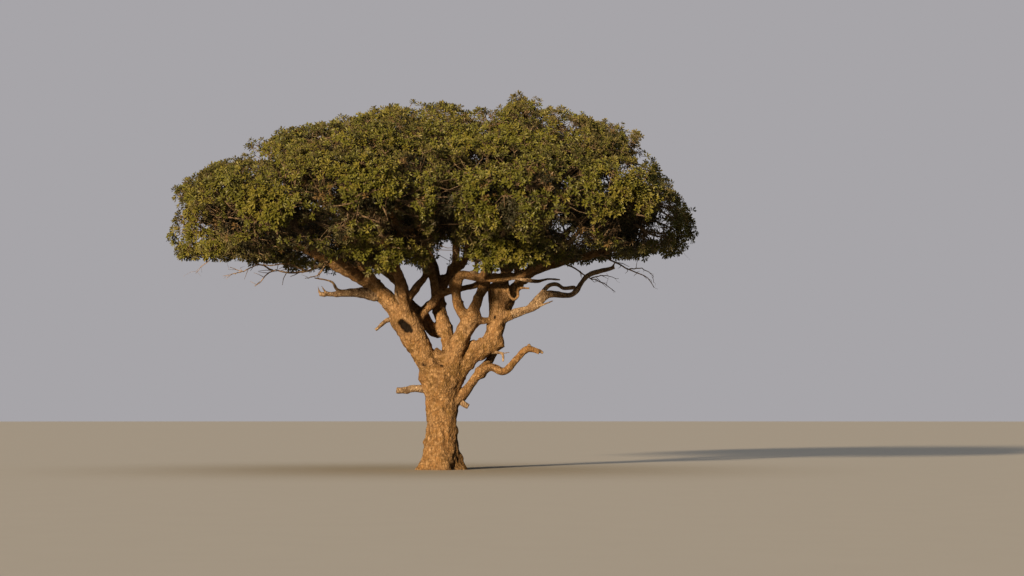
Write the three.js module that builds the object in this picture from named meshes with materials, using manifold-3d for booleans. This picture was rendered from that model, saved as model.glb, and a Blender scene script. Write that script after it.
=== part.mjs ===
// A full-grown savanna tree with a short stout trunk, spreading crooked boughs and a broad domed crown
// of coarse leaves. Millimetres, +Z up. The origin is the middle of the flat cut under the trunk, at
// ground level; +X is to the right and +Y is towards the back.
import * as THREE from "three";
import { mergeVertices } from "three/addons/utils/BufferGeometryUtils.js";
import Module from "manifold-3d";

const wasm = await Module();
wasm.setup();
const { Manifold } = wasm;

// Driving dimensions.
const JOINT_GAP = 0.4; // from the end of a collar to the limb or stem that it carries
const FORK_CLEARANCE = 50; // limbs that part at a fork are this far apart past their collars
const FOLIAGE_CLEARANCE = 70; // from foliage to any limb
const MASS_GAP = 40; // from one mass of foliage to the next
const RING_SPACING = 600; // along a limb
const LEAF_LENGTH = 1000; // each leaf stands for a whole spray
const LEAF_WIDTH = 560;
const LEAF_THICKNESS = 120;
const LEAVES_PER_SPRAY = 2;
const SPRAY_DIRECTIONS = 27; // spread evenly round a mass, inner sides included
const CORE_SHARE = 0.78; // a core's size beside the outline of its mass
const CORE_DETAIL = 1;
const DOME_BULGE = 2.4; // the outline of a mass, where 2 is an ellipsoid and more is squarer
const BASE_BULGE = 3.2;
const CROWN_MIDDLE = new THREE.Vector3(0, 0, 8200);
const LEAST_REACH = 0.9; // of a mass's outline, for foliage to stand on that side of it
const FORKS_PER_STEM = 5;
const FORK_SHARE = 0.42; // how far out a stem's forks reach, beside the space of their mass
const FORK_RADIUS = 60;
const TWIG_RADIUS = 42;

// The trunk: [height, half width, half depth], from the root flare to the crotch.
const TRUNK_GIRTH = [
  [0, 790, 760],
  [170, 690, 670],
  [420, 610, 590],
  [850, 545, 530],
  [1450, 500, 490],
  [2250, 500, 480],
  [2550, 570, 500],
  [2900, 740, 530],
  [3300, 740, 450],
];
const TRUNK_SIDES = 12;
const TRUNK_LEAN = new THREE.Vector3(0.02, 0, 1).normalize();
const ROOT_FLARE_HEIGHT = 420;
const ROOT_RIDGES = 5;
const ROOT_RIDGE_DEPTH = 0.13;

// The limbs, each from a share of the way along the limb that carries it, through its bends, to its tip.
// thick is the radius at the start and at the tip.
const LIMBS = [
  {
    name: "left_bough", from: "trunk", at: 0.78, thick: [310, 440], sides: 8,
    through: [[-600, -30, 3750]], tip: [-1140, -80, 4820],
  },
  {
    name: "left_limb", from: "left_bough", at: 0.9, thick: [290, 120], sides: 8,
    through: [[-1660, -40, 5420], [-2200, -30, 5920], [-3200, 0, 6520]], tip: [-4900, -300, 7350],
  },
  {
    name: "left_snag", from: "left_limb", at: 0.26, thick: [135, 55], sides: 6,
    through: [[-2500, -200, 5640]], tip: [-3880, -400, 5600],
  },
  {
    name: "left_front_limb", from: "left_limb", at: 0.44, thick: [130, 75], sides: 6,
    through: [[-3200, -1500, 6600]], tip: [-3900, -3000, 6950],
  },
  {
    name: "left_back_limb", from: "left_limb", at: 0.5, thick: [130, 80], sides: 6,
    through: [[-3400, 1500, 7000]], tip: [-4100, 2900, 7450],
  },
  {
    name: "mid_left_limb", from: "left_limb", at: 0.38, thick: [140, 85], sides: 6,
    through: [[-2900, 200, 7300]], tip: [-3600, 250, 8400],
  },
  {
    name: "left_stub", from: "left_bough", at: 0.9, thick: [150, 45], sides: 6,
    through: [[-1620, -160, 4820]], tip: [-2090, -200, 4480],
  },
  {
    name: "front_left_limb", from: "left_bough", at: 0.92, thick: [180, 85], sides: 7,
    through: [[-1200, -750, 5600], [-1450, -1900, 6450]], tip: [-1750, -4300, 7150],
  },
  {
    name: "top_left_limb", from: "left_bough", at: 0.84, thick: [165, 90], sides: 7,
    through: [[-560, 260, 5080], [-160, 360, 5500], [-180, 380, 5980], [-550, 380, 7200]],
    tip: [-950, 300, 9200],
  },
  {
    name: "under_left_limb", from: "front_left_limb", at: 0.42, thick: [85, 60], sides: 6,
    through: [[-1800, -1950, 6340]], tip: [-2150, -2050, 6460],
  },
  {
    name: "mid_front_left_limb", from: "front_left_limb", at: 0.58, thick: [105, 75], sides: 6,
    through: [[-1350, -2900, 7500]], tip: [-1800, -3050, 8400],
  },
  {
    name: "centre_bough", from: "trunk", at: 0.78, thick: [380, 240], sides: 8,
    through: [[540, -200, 3950]], tip: [1030, -300, 4900],
  },
  {
    name: "centre_left_limb", from: "centre_bough", at: 0.92, thick: [180, 135], sides: 7,
    through: [[590, -370, 5180]], tip: [450, -500, 5980],
  },
  {
    name: "long_right_limb", from: "centre_left_limb", at: 0.97, thick: [145, 85], sides: 7,
    through: [[680, -640, 6220], [1340, -850, 6130], [2350, -1100, 6160]], tip: [3450, -1600, 6600],
  },
  {
    name: "front_right_limb", from: "long_right_limb", at: 0.32, thick: [120, 80], sides: 6,
    through: [[1500, -2400, 6500]], tip: [1850, -4300, 7100],
  },
  {
    name: "right_front_limb", from: "long_right_limb", at: 0.72, thick: [100, 75], sides: 6,
    through: [[3050, -2100, 6400]], tip: [3800, -3050, 6950],
  },
  {
    name: "centre_right_limb", from: "centre_bough", at: 0.94, thick: [170, 90], sides: 7,
    through: [[1180, -200, 5450], [1450, -50, 6050], [1560, 50, 7200]], tip: [2000, 120, 9200],
  },
  {
    name: "mid_front_right_limb", from: "centre_right_limb", at: 0.45, thick: [110, 75], sides: 6,
    through: [[1700, -1300, 7500]], tip: [2000, -2750, 8450],
  },
  {
    name: "right_bough", from: "trunk", at: 0.74, thick: [330, 250], sides: 8,
    through: [[1000, 0, 3700], [1580, 0, 4020], [1830, 0, 4800]], tip: [1780, 20, 5800],
  },
  {
    name: "right_snag", from: "right_bough", at: 0.76, thick: [140, 50], sides: 6,
    through: [
      [2500, -120, 5070], [3050, -200, 5250], [3450, -260, 5620], [4220, -330, 5620], [4750, -360, 6230],
    ],
    tip: [5600, -400, 6490],
  },
  {
    name: "mid_right_limb", from: "right_bough", at: 0.96, thick: [170, 90], sides: 7,
    through: [[2350, 100, 6750]], tip: [3750, -50, 8500],
  },
  {
    name: "right_limb", from: "right_bough", at: 0.86, thick: [165, 100], sides: 7,
    through: [[2900, 250, 6330], [4300, 250, 6800]], tip: [5450, 150, 7080],
  },
  {
    name: "low_right_limb", from: "trunk", at: 0.56, thick: [165, 85], sides: 7,
    through: [
      [730, -80, 2400], [1250, -100, 3080], [1620, -130, 3290], [2030, -160, 3160], [2420, -190, 3520],
      [2800, -200, 3860],
    ],
    tip: [3180, -220, 3780],
  },
  {
    name: "torn_stub", from: "trunk", at: 0.58, thick: [150, 85], sides: 6,
    through: [[480, -80, 2230]], tip: [900, -110, 2020],
  },
  {
    name: "back_right_limb", from: "low_right_limb", at: 0.45, thick: [150, 95], sides: 7,
    through: [[1600, 420, 3520], [1850, 1150, 4250], [2500, 2300, 5900]], tip: [3700, 3400, 7400],
  },
  {
    name: "back_limb", from: "back_right_limb", at: 0.55, thick: [110, 80], sides: 6,
    through: [[2100, 3400, 6700]], tip: [1750, 4500, 7500],
  },
  {
    name: "mid_back_right_limb", from: "back_right_limb", at: 0.68, thick: [105, 75], sides: 6,
    through: [[2500, 2700, 7300]], tip: [2400, 2950, 8550],
  },
  {
    name: "low_left_stub", from: "trunk", at: 0.76, thick: [100, 65], sides: 6,
    through: [[-680, -20, 2600]], tip: [-1360, -50, 2510],
  },
  {
    name: "back_bough", from: "trunk", at: 0.8, thick: [250, 175], sides: 8,
    through: [[280, 480, 4050], [50, 750, 4850], [-80, 850, 5500]], tip: [20, 950, 6150],
  },
  {
    name: "middle_limb", from: "back_bough", at: 0.94, thick: [145, 115], sides: 6,
    through: [[430, 950, 6550]], tip: [520, 1100, 7400],
  },
  {
    name: "mid_back_left_limb", from: "back_bough", at: 0.93, thick: [145, 80], sides: 6,
    through: [[-480, 1700, 7200]], tip: [-1700, 2850, 8500],
  },
  {
    name: "back_left_limb", from: "back_bough", at: 0.56, thick: [190, 95], sides: 7,
    through: [[-160, 720, 4440], [-520, 950, 4950], [-1000, 1400, 5400], [-1300, 2400, 6200]],
    tip: [-1750, 4400, 7450],
  },
];

// The masses of foliage, each carried by the tip of a limb: the middle of its space and the half sizes.
const MASSES = [
  {
    name: "left_foliage", limb: "left_limb",
    centre: [-6550, -400, 8150], half: [2400, 2900, 1750],
  },
  {
    name: "left_front_foliage", limb: "left_front_limb",
    centre: [-4900, -4350, 8100], half: [2600, 2600, 1600],
  },
  {
    name: "front_left_foliage", limb: "front_left_limb",
    centre: [-2050, -5750, 8300], half: [2500, 2250, 1450],
  },
  {
    name: "front_right_foliage", limb: "front_right_limb",
    centre: [2200, -5750, 8300], half: [2500, 2250, 1450],
  },
  {
    name: "right_front_foliage", limb: "right_front_limb",
    centre: [4900, -4200, 8150], half: [2500, 2600, 1600],
  },
  {
    name: "right_foliage", limb: "right_limb",
    centre: [6150, 0, 8150], half: [2300, 2900, 1600],
  },
  {
    name: "right_back_foliage", limb: "back_right_limb",
    centre: [4900, 4300, 8500], half: [2500, 2600, 1750],
  },
  {
    name: "back_right_foliage", limb: "back_limb",
    centre: [2000, 5750, 8650], half: [2500, 2250, 1750],
  },
  {
    name: "back_left_foliage", limb: "back_left_limb",
    centre: [-2100, 5750, 8600], half: [2500, 2250, 1750],
  },
  {
    name: "left_back_foliage", limb: "left_back_limb",
    centre: [-5000, 4200, 8400], half: [2600, 2600, 1750],
  },
  {
    name: "mid_left_foliage", limb: "mid_left_limb",
    centre: [-4250, 0, 9550], half: [2350, 2800, 1550],
  },
  {
    name: "mid_front_left_foliage", limb: "mid_front_left_limb",
    centre: [-2400, -3300, 9500], half: [2600, 2600, 1600],
  },
  {
    name: "mid_front_right_foliage", limb: "mid_front_right_limb",
    centre: [2400, -3300, 9750], half: [2600, 2600, 1700],
  },
  {
    name: "mid_right_foliage", limb: "mid_right_limb",
    centre: [4700, 0, 9900], half: [2250, 2800, 1650],
  },
  {
    name: "mid_back_right_foliage", limb: "mid_back_right_limb",
    centre: [2500, 3400, 9900], half: [2600, 2600, 1700],
  },
  {
    name: "mid_back_left_foliage", limb: "mid_back_left_limb",
    centre: [-2400, 3400, 9850], half: [2600, 2600, 1700],
  },
  {
    name: "top_left_foliage", limb: "top_left_limb",
    centre: [-950, 100, 10500], half: [2450, 2600, 1560],
  },
  {
    name: "top_right_foliage", limb: "centre_right_limb",
    centre: [2450, 100, 10500], half: [2300, 2600, 1560],
  },
  {
    name: "under_left_foliage", limb: "under_left_limb",
    centre: [-1900, -2950, 7100], half: [2100, 1600, 1300],
  },
  {
    name: "under_right_foliage", limb: "long_right_limb",
    centre: [2300, -2750, 7350], half: [1950, 1550, 1200],
  },
  {
    name: "middle_foliage", limb: "middle_limb",
    centre: [500, 1500, 8700], half: [1700, 1700, 1200],
  },
];

const BARK = new THREE.MeshStandardMaterial({ color: 0xa07a50, roughness: 0.95, metalness: 0 });
const DEAD_WOOD = new THREE.MeshStandardMaterial({ color: 0xb49676, roughness: 0.9, metalness: 0 });
const FOLIAGE = new THREE.MeshStandardMaterial({ color: 0x55552a, roughness: 0.7, metalness: 0 });
const DEAD_LIMBS = ["left_snag", "right_snag", "left_stub", "low_left_stub", "torn_stub"];

const GOLDEN_ANGLE = Math.PI * (3 - Math.sqrt(5));
const SAMPLE_STEP = 110; // between the points where a limb's distance to others is measured
const WOOD_FINENESS = 0.1; // how far simplifying may move a surface once pieces are fused
const FOLIAGE_FINENESS = 10;

const UP = new THREE.Vector3(0, 0, 1);

const vector = (p) => new THREE.Vector3(...p);

// A repeatable stream of random numbers from 0 to 1.
function seeded(seed) {
  let state = seed >>> 0;
  return () => {
    state = (state + 0x6d2b79f5) >>> 0;
    let t = state;
    t = Math.imul(t ^ (t >>> 15), t | 1);
    t ^= t + Math.imul(t ^ (t >>> 7), t | 61);
    return ((t ^ (t >>> 14)) >>> 0) / 4294967296;
  };
}

// Directions spread evenly over a sphere, in a spiral from the top to the bottom.
function evenDirections(count) {
  return Array.from({ length: count }, (_, i) => {
    const z = 1 - (2 * i + 1) / count;
    const flat = Math.sqrt(1 - z * z);
    const turn = i * GOLDEN_ANGLE;
    return new THREE.Vector3(Math.cos(turn) * flat, Math.sin(turn) * flat, z);
  });
}

// A closed solid from a geometry of any kind.
function solidOf(geometry) {
  const bare = geometry.clone();
  bare.deleteAttribute("normal");
  bare.deleteAttribute("uv");
  const merged = mergeVertices(bare, 1e-3);
  return new Manifold(
    new wasm.Mesh({
      numProp: 3,
      vertProperties: merged.attributes.position.array,
      triVerts: new Uint32Array(merged.index.array),
    }),
  );
}

// Skin over a row of rings that have the same number of points, with a flat cap at each end.
function loftGeometry(rings) {
  const sides = rings[0].length;
  const index = [];
  for (let i = 0; i + 1 < rings.length; i++) {
    for (let k = 0; k < sides; k++) {
      const a = i * sides + k;
      const b = i * sides + ((k + 1) % sides);
      index.push(a, b, b + sides, a, b + sides, a + sides);
    }
  }
  const last = (rings.length - 1) * sides;
  for (let k = 1; k + 1 < sides; k++) {
    index.push(0, k + 1, k);
    index.push(last, last + k, last + k + 1);
  }
  const geometry = new THREE.BufferGeometry().setFromPoints(rings.flat());
  return geometry.setIndex(index);
}

// The points of a ring round a place on a limb, uneven as an old limb is. grow widens the ring all round.
function ringAround(middle, along, steady, sides, radius, phase, grow = 0) {
  const across = new THREE.Vector3().crossVectors(along, steady).normalize();
  const up = new THREE.Vector3().crossVectors(along, across);
  return Array.from({ length: sides }, (_, k) => {
    const angle = (2 * Math.PI * k) / sides;
    const uneven = 1 + 0.05 * Math.sin(3 * angle + phase) + 0.04 * Math.sin(2 * angle - 2.3 * phase);
    const reach = radius * uneven + grow;
    return middle
      .clone()
      .addScaledVector(across, reach * Math.cos(angle))
      .addScaledVector(up, reach * Math.sin(angle));
  });
}

// The world axis that a limb's chord leans on least, which keeps its rings from twisting.
function steadyAxis(from, to) {
  const chord = to.clone().sub(from);
  const sizes = [Math.abs(chord.x), Math.abs(chord.y), Math.abs(chord.z)];
  const least = sizes.indexOf(Math.min(...sizes));
  return new THREE.Vector3().setComponent(least, 1);
}

const trunkTop = TRUNK_GIRTH.at(-1)[0];

// The trunk's half width and half depth at a height.
function trunkGirth(height) {
  const i = Math.max(1, TRUNK_GIRTH.findIndex(([h]) => h >= height));
  const [h0, w0, d0] = TRUNK_GIRTH[i - 1];
  const [h1, w1, d1] = TRUNK_GIRTH[i];
  const t = (height - h0) / (h1 - h0);
  return [w0 + (w1 - w0) * t, d0 + (d1 - d0) * t];
}

function trunkLimb() {
  const tip = TRUNK_LEAN.clone().multiplyScalar(trunkTop / TRUNK_LEAN.z);
  const curve = new THREE.LineCurve3(new THREE.Vector3(), tip);
  const radiusAt = (u) => Math.max(...trunkGirth(u * trunkTop));
  return { name: "trunk", curve, length: curve.getLength(), radiusAt, children: [] };
}

// A limb with its curve from the limb that carries it, and its radius along the way.
function makeLimb(plan, parent) {
  const start = parent.curve.getPointAt(plan.at);
  const points = [start, ...plan.through.map(vector), vector(plan.tip)];
  const curve = new THREE.CatmullRomCurve3(points, false, "centripetal");
  const length = curve.getLength();
  const [thickStart, thickTip] = plan.thick;
  const radiusAt = (u) => {
    const flare = 1 + 0.2 * Math.exp((-u * length) / 350);
    return (thickTip + (thickStart - thickTip) * (1 - u) ** 0.9) * flare;
  };
  const steady = steadyAxis(start, points.at(-1));
  const limb = { ...plan, parent, curve, length, radiusAt, steady, children: [] };
  parent.children.push(limb);
  return limb;
}

function limbRing(limb, share, shift = 0, grow = 0) {
  const u = Math.min(1, share);
  const along = limb.curve.getTangentAt(u);
  const middle = limb.curve.getPointAt(u).addScaledVector(along, shift);
  const phase = (u * limb.length) / 700 + limb.name.length;
  return ringAround(middle, along, limb.steady, limb.sides, limb.radiusAt(u), phase, grow);
}

// Rings along part of a limb, from one share of its length to another.
function limbRings(limb, from, to, grow = 0) {
  const span = to - from;
  const steps = Math.max(1, Math.round((span * limb.length) / RING_SPACING));
  return Array.from({ length: steps + 1 }, (_, i) => limbRing(limb, from + (span * i) / steps, 0, grow));
}

// Points along a limb with its radius there, for measuring distances.
function sampleLimb(limb) {
  const count = Math.ceil(limb.length / SAMPLE_STEP);
  return Array.from({ length: count + 1 }, (_, i) => {
    const u = i / count;
    return { u, point: limb.curve.getPointAt(u), radius: limb.radiusAt(u) };
  });
}

// The share of a limb's length where its collar ends: past it, the limb is clear of the limb that
// carries it and of those that leave the same fork.
function collarEnd(limb) {
  const others = [limb.parent, ...limb.parent.children.filter((other) => other !== limb)];
  const nearby = others.flatMap((other) => other.samples);
  const crowded = limb.samples.filter(({ point, radius }) =>
    nearby.some((near) => near.point.distanceTo(point) < (near.radius + radius) * 1.06 + FORK_CLEARANCE),
  );
  const last = Math.max(...crowded.map(({ u }) => u));
  return Math.min(0.9, last + SAMPLE_STEP / limb.length);
}

function trunkSolid(trunk) {
  const rings = TRUNK_GIRTH.map(([height]) => {
    const [width, depth] = trunkGirth(height);
    const middle = TRUNK_LEAN.clone().multiplyScalar(height / TRUNK_LEAN.z);
    const ridged = ROOT_RIDGE_DEPTH * Math.max(0, 1 - height / ROOT_FLARE_HEIGHT);
    return Array.from({ length: TRUNK_SIDES }, (_, k) => {
      const angle = (2 * Math.PI * k) / TRUNK_SIDES;
      const ridge = ridged * Math.cos(ROOT_RIDGES * angle + 0.6);
      const uneven = 1 + ridge + 0.03 * Math.sin(3 * angle + height / 500);
      const x = middle.x + width * uneven * Math.cos(angle);
      const y = middle.y + depth * uneven * Math.sin(angle);
      return new THREE.Vector3(x, y, height);
    });
  });
  return withCollars(solidOf(loftGeometry(rings)), trunk);
}

// The limb past its own collar, with the collars of the limbs that it carries fused on.
function limbSolid(limb) {
  const rings = limbRings(limb, limb.collar, 1);
  rings[0] = limbRing(limb, limb.collar, JOINT_GAP);
  if (!limb.mass) rings.push(limbRing(limb, 1, limb.radiusAt(1) * 0.5, -limb.radiusAt(1) * 0.45));
  return withCollars(solidOf(loftGeometry(rings)), limb);
}

function withCollars(solid, limb) {
  const collars = limb.children.map((child) => solidOf(loftGeometry(limbRings(child, 0, child.collar))));
  return fused([solid, ...collars], WOOD_FINENESS);
}

// One clean body from overlapping pieces. A loose scrap is dropped.
function fused(pieces, fineness) {
  const joined = Manifold.union(pieces).simplify(fineness);
  const bodies = joined.decompose();
  return bodies.reduce((a, b) => (a.volume() > b.volume() ? a : b));
}

// How far out an offset from the middle of a mass lies, from 0 to 1 at its outline: a dome over a base
// that is nearly flat.
function shareOfOutline(mass, offset) {
  const { x, y, z } = mass.half;
  const bulge = offset.z < 0 ? BASE_BULGE : DOME_BULGE;
  return (Math.hypot(offset.x / x, offset.y / y) ** bulge + Math.abs(offset.z / z) ** bulge) ** (1 / bulge);
}

// How far a mass may reach from its middle in a direction, before its own outline and before a neighbour.
function reachOf(mass, direction) {
  const outline = 1 / shareOfOutline(mass, direction);
  let reach = outline;
  for (const { normal, distance } of mass.walls) {
    const towards = normal.dot(direction);
    if (towards > 1e-6) reach = Math.min(reach, distance / towards);
  }
  return { outline, reach };
}

// Flat walls that share the space between neighbouring masses, and one over the tip of the bough.
function wallsOf(mass, masses) {
  const walls = [];
  for (const other of masses) {
    if (other === mass) continue;
    const across = other.centre.clone().sub(mass.centre);
    const distance = across.length();
    const normal = across.divideScalar(distance);
    const mine = 1 / normal.clone().divide(mass.half).length();
    const theirs = 1 / normal.clone().divide(other.half).length();
    if (distance > 1.4 * (mine + theirs)) continue;
    walls.push({ normal, distance: (distance * mine) / (mine + theirs) - MASS_GAP / 2 });
  }
  const back = mass.foot.clone().sub(mass.centre);
  const normal = back.clone().normalize().sub(mass.bough.curve.getTangentAt(1)).normalize();
  walls.push({ normal, distance: back.dot(normal) - FOLIAGE_CLEARANCE });
  return walls;
}

function inSpace(mass, point) {
  const offset = point.clone().sub(mass.centre);
  if (shareOfOutline(mass, offset) > 1) return false;
  return mass.walls.every(({ normal, distance }) => normal.dot(offset) < distance);
}

function touchesLimb(point, obstacles) {
  return obstacles.some(({ samples }) =>
    samples.some((near) => near.point.distanceTo(point) < near.radius * 1.1 + FOLIAGE_CLEARANCE),
  );
}

// The stem of a mass, from the tip of its bough to the middle of its space.
function makeStem(mass) {
  const along = mass.bough.curve.getTangentAt(1);
  const start = mass.foot.clone();
  const bend = start.clone().addScaledVector(along, start.distanceTo(mass.centre) * 0.3);
  const curve = new THREE.QuadraticBezierCurve3(start, bend, mass.centre.clone());
  const thick = mass.bough.radiusAt(1);
  const radiusAt = (u) => thick * (1 - 0.35 * u);
  const { steady, sides } = mass.bough;
  return { name: mass.name, curve, length: curve.getLength(), radiusAt, steady, sides };
}

function stemSolid(mass) {
  const { stem, bough } = mass;
  const first = limbRing(bough, 1, JOINT_GAP);
  const others = [0.35, 0.7, 1].map((u) => {
    const along = stem.curve.getTangentAt(u);
    return ringAround(stem.curve.getPointAt(u), along, stem.steady, stem.sides, stem.radiusAt(u), 0);
  });
  return solidOf(loftGeometry([first, ...others]));
}

// A lumpy core inside the space of a mass, cut clear of the limbs that pass it.
function coreSolid(mass, obstacles) {
  const geometry = new THREE.IcosahedronGeometry(1, CORE_DETAIL);
  const place = geometry.getAttribute("position");
  const point = new THREE.Vector3();
  for (let i = 0; i < place.count; i++) {
    point.fromBufferAttribute(place, i);
    const wave = Math.sin(4.1 * point.x + 2.7 * point.y + mass.seed);
    const lump = 1 + 0.12 * wave * Math.cos(3.3 * point.z + 1.9 * point.y);
    const direction = point.clone().multiply(mass.half).normalize();
    const { outline, reach } = reachOf(mass, direction);
    point.copy(direction).multiplyScalar(Math.min(reach, outline * CORE_SHARE * lump)).add(mass.centre);
    place.setXYZ(i, point.x, point.y, point.z);
  }
  let core = solidOf(geometry);
  for (const limb of obstacles) {
    const sleeve = solidOf(loftGeometry(limbRings(limb, 0, 1, FOLIAGE_CLEARANCE)));
    if (core.intersect(sleeve).volume() > 0) core = core.subtract(sleeve);
  }
  return core;
}

// A thin three-sided twig between two points.
function twigSolid(from, to, radius) {
  const along = to.clone().sub(from).normalize();
  const steady = steadyAxis(from, to);
  const rings = [
    ringAround(from, along, steady, 3, radius, 0),
    ringAround(to, along, steady, 3, radius * 0.5, 0),
  ];
  return solidOf(loftGeometry(rings));
}

// A leaf of eight faces from its root along a direction, lying flat to a normal as far as it can.
function leafGeometry(root, direction, normal) {
  const side = new THREE.Vector3().crossVectors(normal, direction).normalize();
  const up = new THREE.Vector3().crossVectors(direction, side);
  const turn = new THREE.Matrix4().makeBasis(direction, side, up).setPosition(root);
  const blade = new THREE.OctahedronGeometry(1);
  blade.scale(LEAF_LENGTH / 2, LEAF_WIDTH / 2, LEAF_THICKNESS / 2);
  blade.translate(LEAF_LENGTH / 2, 0, 0);
  return blade.applyMatrix4(turn);
}

function leafFits(mass, geometry, obstacles) {
  const place = geometry.getAttribute("position");
  const corner = (_, i) => new THREE.Vector3().fromBufferAttribute(place, i);
  const corners = Array.from({ length: place.count }, corner);
  const middle = corners.reduce((sum, p) => sum.add(p), new THREE.Vector3()).divideScalar(corners.length);
  const points = corners.flatMap((p) => [p, p.clone().lerp(middle, 0.5)]);
  return points.every((p) => inSpace(mass, p) && !touchesLimb(p, obstacles));
}

// Whether a straight twig stays in the space of a mass and clear of the limbs that pass through it.
function twigFits(mass, from, to, passing) {
  const steps = Math.ceil(from.distanceTo(to) / SAMPLE_STEP);
  const points = Array.from({ length: steps + 1 }, (_, i) => from.clone().lerp(to, i / steps));
  return points.every((p) => inSpace(mass, p) && !touchesLimb(p, passing));
}

// Directions spread evenly round a mass, each a little out of place, with how far the mass reaches there.
function growthDirections(mass, count, random) {
  return evenDirections(count).map((even) => {
    const stray = new THREE.Vector3(random() - 0.5, random() - 0.5, random() - 0.5).multiplyScalar(0.25);
    return growthIn(mass, even.add(stray).multiply(mass.half).normalize(), random());
  });
}

function growthIn(mass, direction, spread) {
  return { direction, spread, ...reachOf(mass, direction) };
}

// The leaves at the end of a twig, leaning away from it to both sides.
function sprayOfLeaves(mass, root, { direction, spread }, obstacles) {
  const across = new THREE.Vector3().crossVectors(direction, UP).normalize();
  const over = new THREE.Vector3().crossVectors(across, direction);
  const leaves = [];
  for (let i = 0; i < LEAVES_PER_SPRAY; i++) {
    const turn = 2 * Math.PI * (i / LEAVES_PER_SPRAY + spread);
    const lean = i === 0 ? 0.05 : 0.5 + 0.4 * ((spread * 7 + i * 0.5) % 1);
    const sideways = across.clone().multiplyScalar(Math.cos(turn)).addScaledVector(over, Math.sin(turn));
    const heading = direction.clone().multiplyScalar(Math.cos(lean));
    heading.addScaledVector(sideways, Math.sin(lean));
    const leaf = leafGeometry(root, heading, sideways.cross(heading).cross(heading).negate().add(UP));
    if (leafFits(mass, leaf, obstacles)) leaves.push(solidOf(leaf));
  }
  return leaves;
}

// A mass of foliage: a stem that forks, twigs from the forks with leaves at their ends, and a core.
function massSolid(mass, limbs, stems) {
  const girth = Math.max(...mass.half.toArray());
  const obstacles = [...limbs, ...stems.filter((stem) => stem !== mass.stem)].filter((limb) =>
    limb.samples.some(({ point }) => point.distanceTo(mass.centre) < girth + LEAF_LENGTH / 2),
  );
  const passing = obstacles.filter((limb) => limb !== mass.bough);
  const pieces = [stemSolid(mass), coreSolid(mass, passing)];
  const random = seeded(mass.seed);
  const forks = growthDirections(mass, FORKS_PER_STEM, random)
    .map(({ direction, reach }) => mass.centre.clone().addScaledVector(direction, reach * FORK_SHARE))
    .filter((fork) => twigFits(mass, mass.centre, fork, passing));
  const outermost = growthIn(mass, mass.centre.clone().sub(CROWN_MIDDLE).normalize(), 0.1);
  for (const growth of [outermost, ...growthDirections(mass, SPRAY_DIRECTIONS, random)]) {
    if (growth.reach < LEAST_REACH * growth.outline) continue;
    const root = mass.centre.clone().addScaledVector(growth.direction, growth.reach - LEAF_LENGTH * 1.01);
    const nearest = forks.reduce((a, b) => (a.distanceTo(root) < b.distanceTo(root) ? a : b));
    const end = root.clone().addScaledVector(growth.direction, LEAF_LENGTH * 0.25);
    const leaves = sprayOfLeaves(mass, root, growth, obstacles);
    if (!leaves.length || !twigFits(mass, nearest, end, passing)) continue;
    pieces.push(twigSolid(nearest, end, TWIG_RADIUS), ...leaves);
  }
  pieces.push(...forks.map((fork) => twigSolid(mass.centre, fork, FORK_RADIUS)));
  return fused(pieces, FOLIAGE_FINENESS);
}

// A named mesh that stands at its own place in the tree.
function meshOf(name, solid, place, material) {
  const { numProp, vertProperties, triVerts } = solid.getMesh();
  const positions = new Float32Array((vertProperties.length / numProp) * 3);
  for (let i = 0; i * numProp < vertProperties.length; i++) {
    positions.set(vertProperties.subarray(i * numProp, i * numProp + 3), i * 3);
  }
  const geometry = new THREE.BufferGeometry();
  geometry.setAttribute("position", new THREE.BufferAttribute(positions, 3));
  geometry.setIndex(new THREE.BufferAttribute(new Uint32Array(triVerts), 1));
  geometry.translate(-place.x, -place.y, -place.z);
  geometry.computeVertexNormals();
  const mesh = new THREE.Mesh(geometry, material);
  mesh.name = name;
  mesh.position.copy(place);
  return mesh;
}

function growLimbs() {
  const trunk = trunkLimb();
  const limbs = new Map([["trunk", trunk]]);
  for (const plan of LIMBS) limbs.set(plan.name, makeLimb(plan, limbs.get(plan.from)));
  for (const limb of limbs.values()) limb.samples = sampleLimb(limb);
  for (const limb of limbs.values()) if (limb.parent) limb.collar = collarEnd(limb);
  return limbs;
}

function layOutMasses(limbs) {
  const masses = MASSES.map((plan, i) => {
    const bough = limbs.get(plan.limb);
    const centre = vector(plan.centre);
    const mass = { name: plan.name, seed: i + 1, bough, centre, half: vector(plan.half) };
    mass.foot = bough.curve.getPointAt(1);
    mass.stem = makeStem(mass);
    mass.stem.samples = sampleLimb(mass.stem);
    bough.mass = mass;
    return mass;
  });
  for (const mass of masses) mass.walls = wallsOf(mass, masses);
  return masses;
}

const limbs = growLimbs();
const masses = layOutMasses(limbs);
const stems = masses.map((mass) => mass.stem);

const tree = new THREE.Group();
const wood = new THREE.Group();
const crown = new THREE.Group();
tree.add(wood, crown);

for (const limb of limbs.values()) {
  const solid = limb.parent ? limbSolid(limb) : trunkSolid(limb);
  const place = limb.parent ? limb.curve.getPointAt(limb.collar) : new THREE.Vector3();
  wood.add(meshOf(limb.name, solid, place, DEAD_LIMBS.includes(limb.name) ? DEAD_WOOD : BARK));
}
for (const mass of masses) {
  crown.add(meshOf(mass.name, massSolid(mass, [...limbs.values()], stems), mass.centre, FOLIAGE));
}

export default tree;
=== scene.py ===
"""A full-grown savanna tree, dressed for its picture.

One skin of rough bark covers the trunk and the boughs, with bare dead wood where branches have broken
off. Each mass of foliage is a stem that forks into twigs, and every shoot ends in a whorl of leaves.
Metres, with +Z up, +X to the right and +Y towards the back. The origin is in the middle of the trunk's
flat cut.
"""
import math

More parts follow.
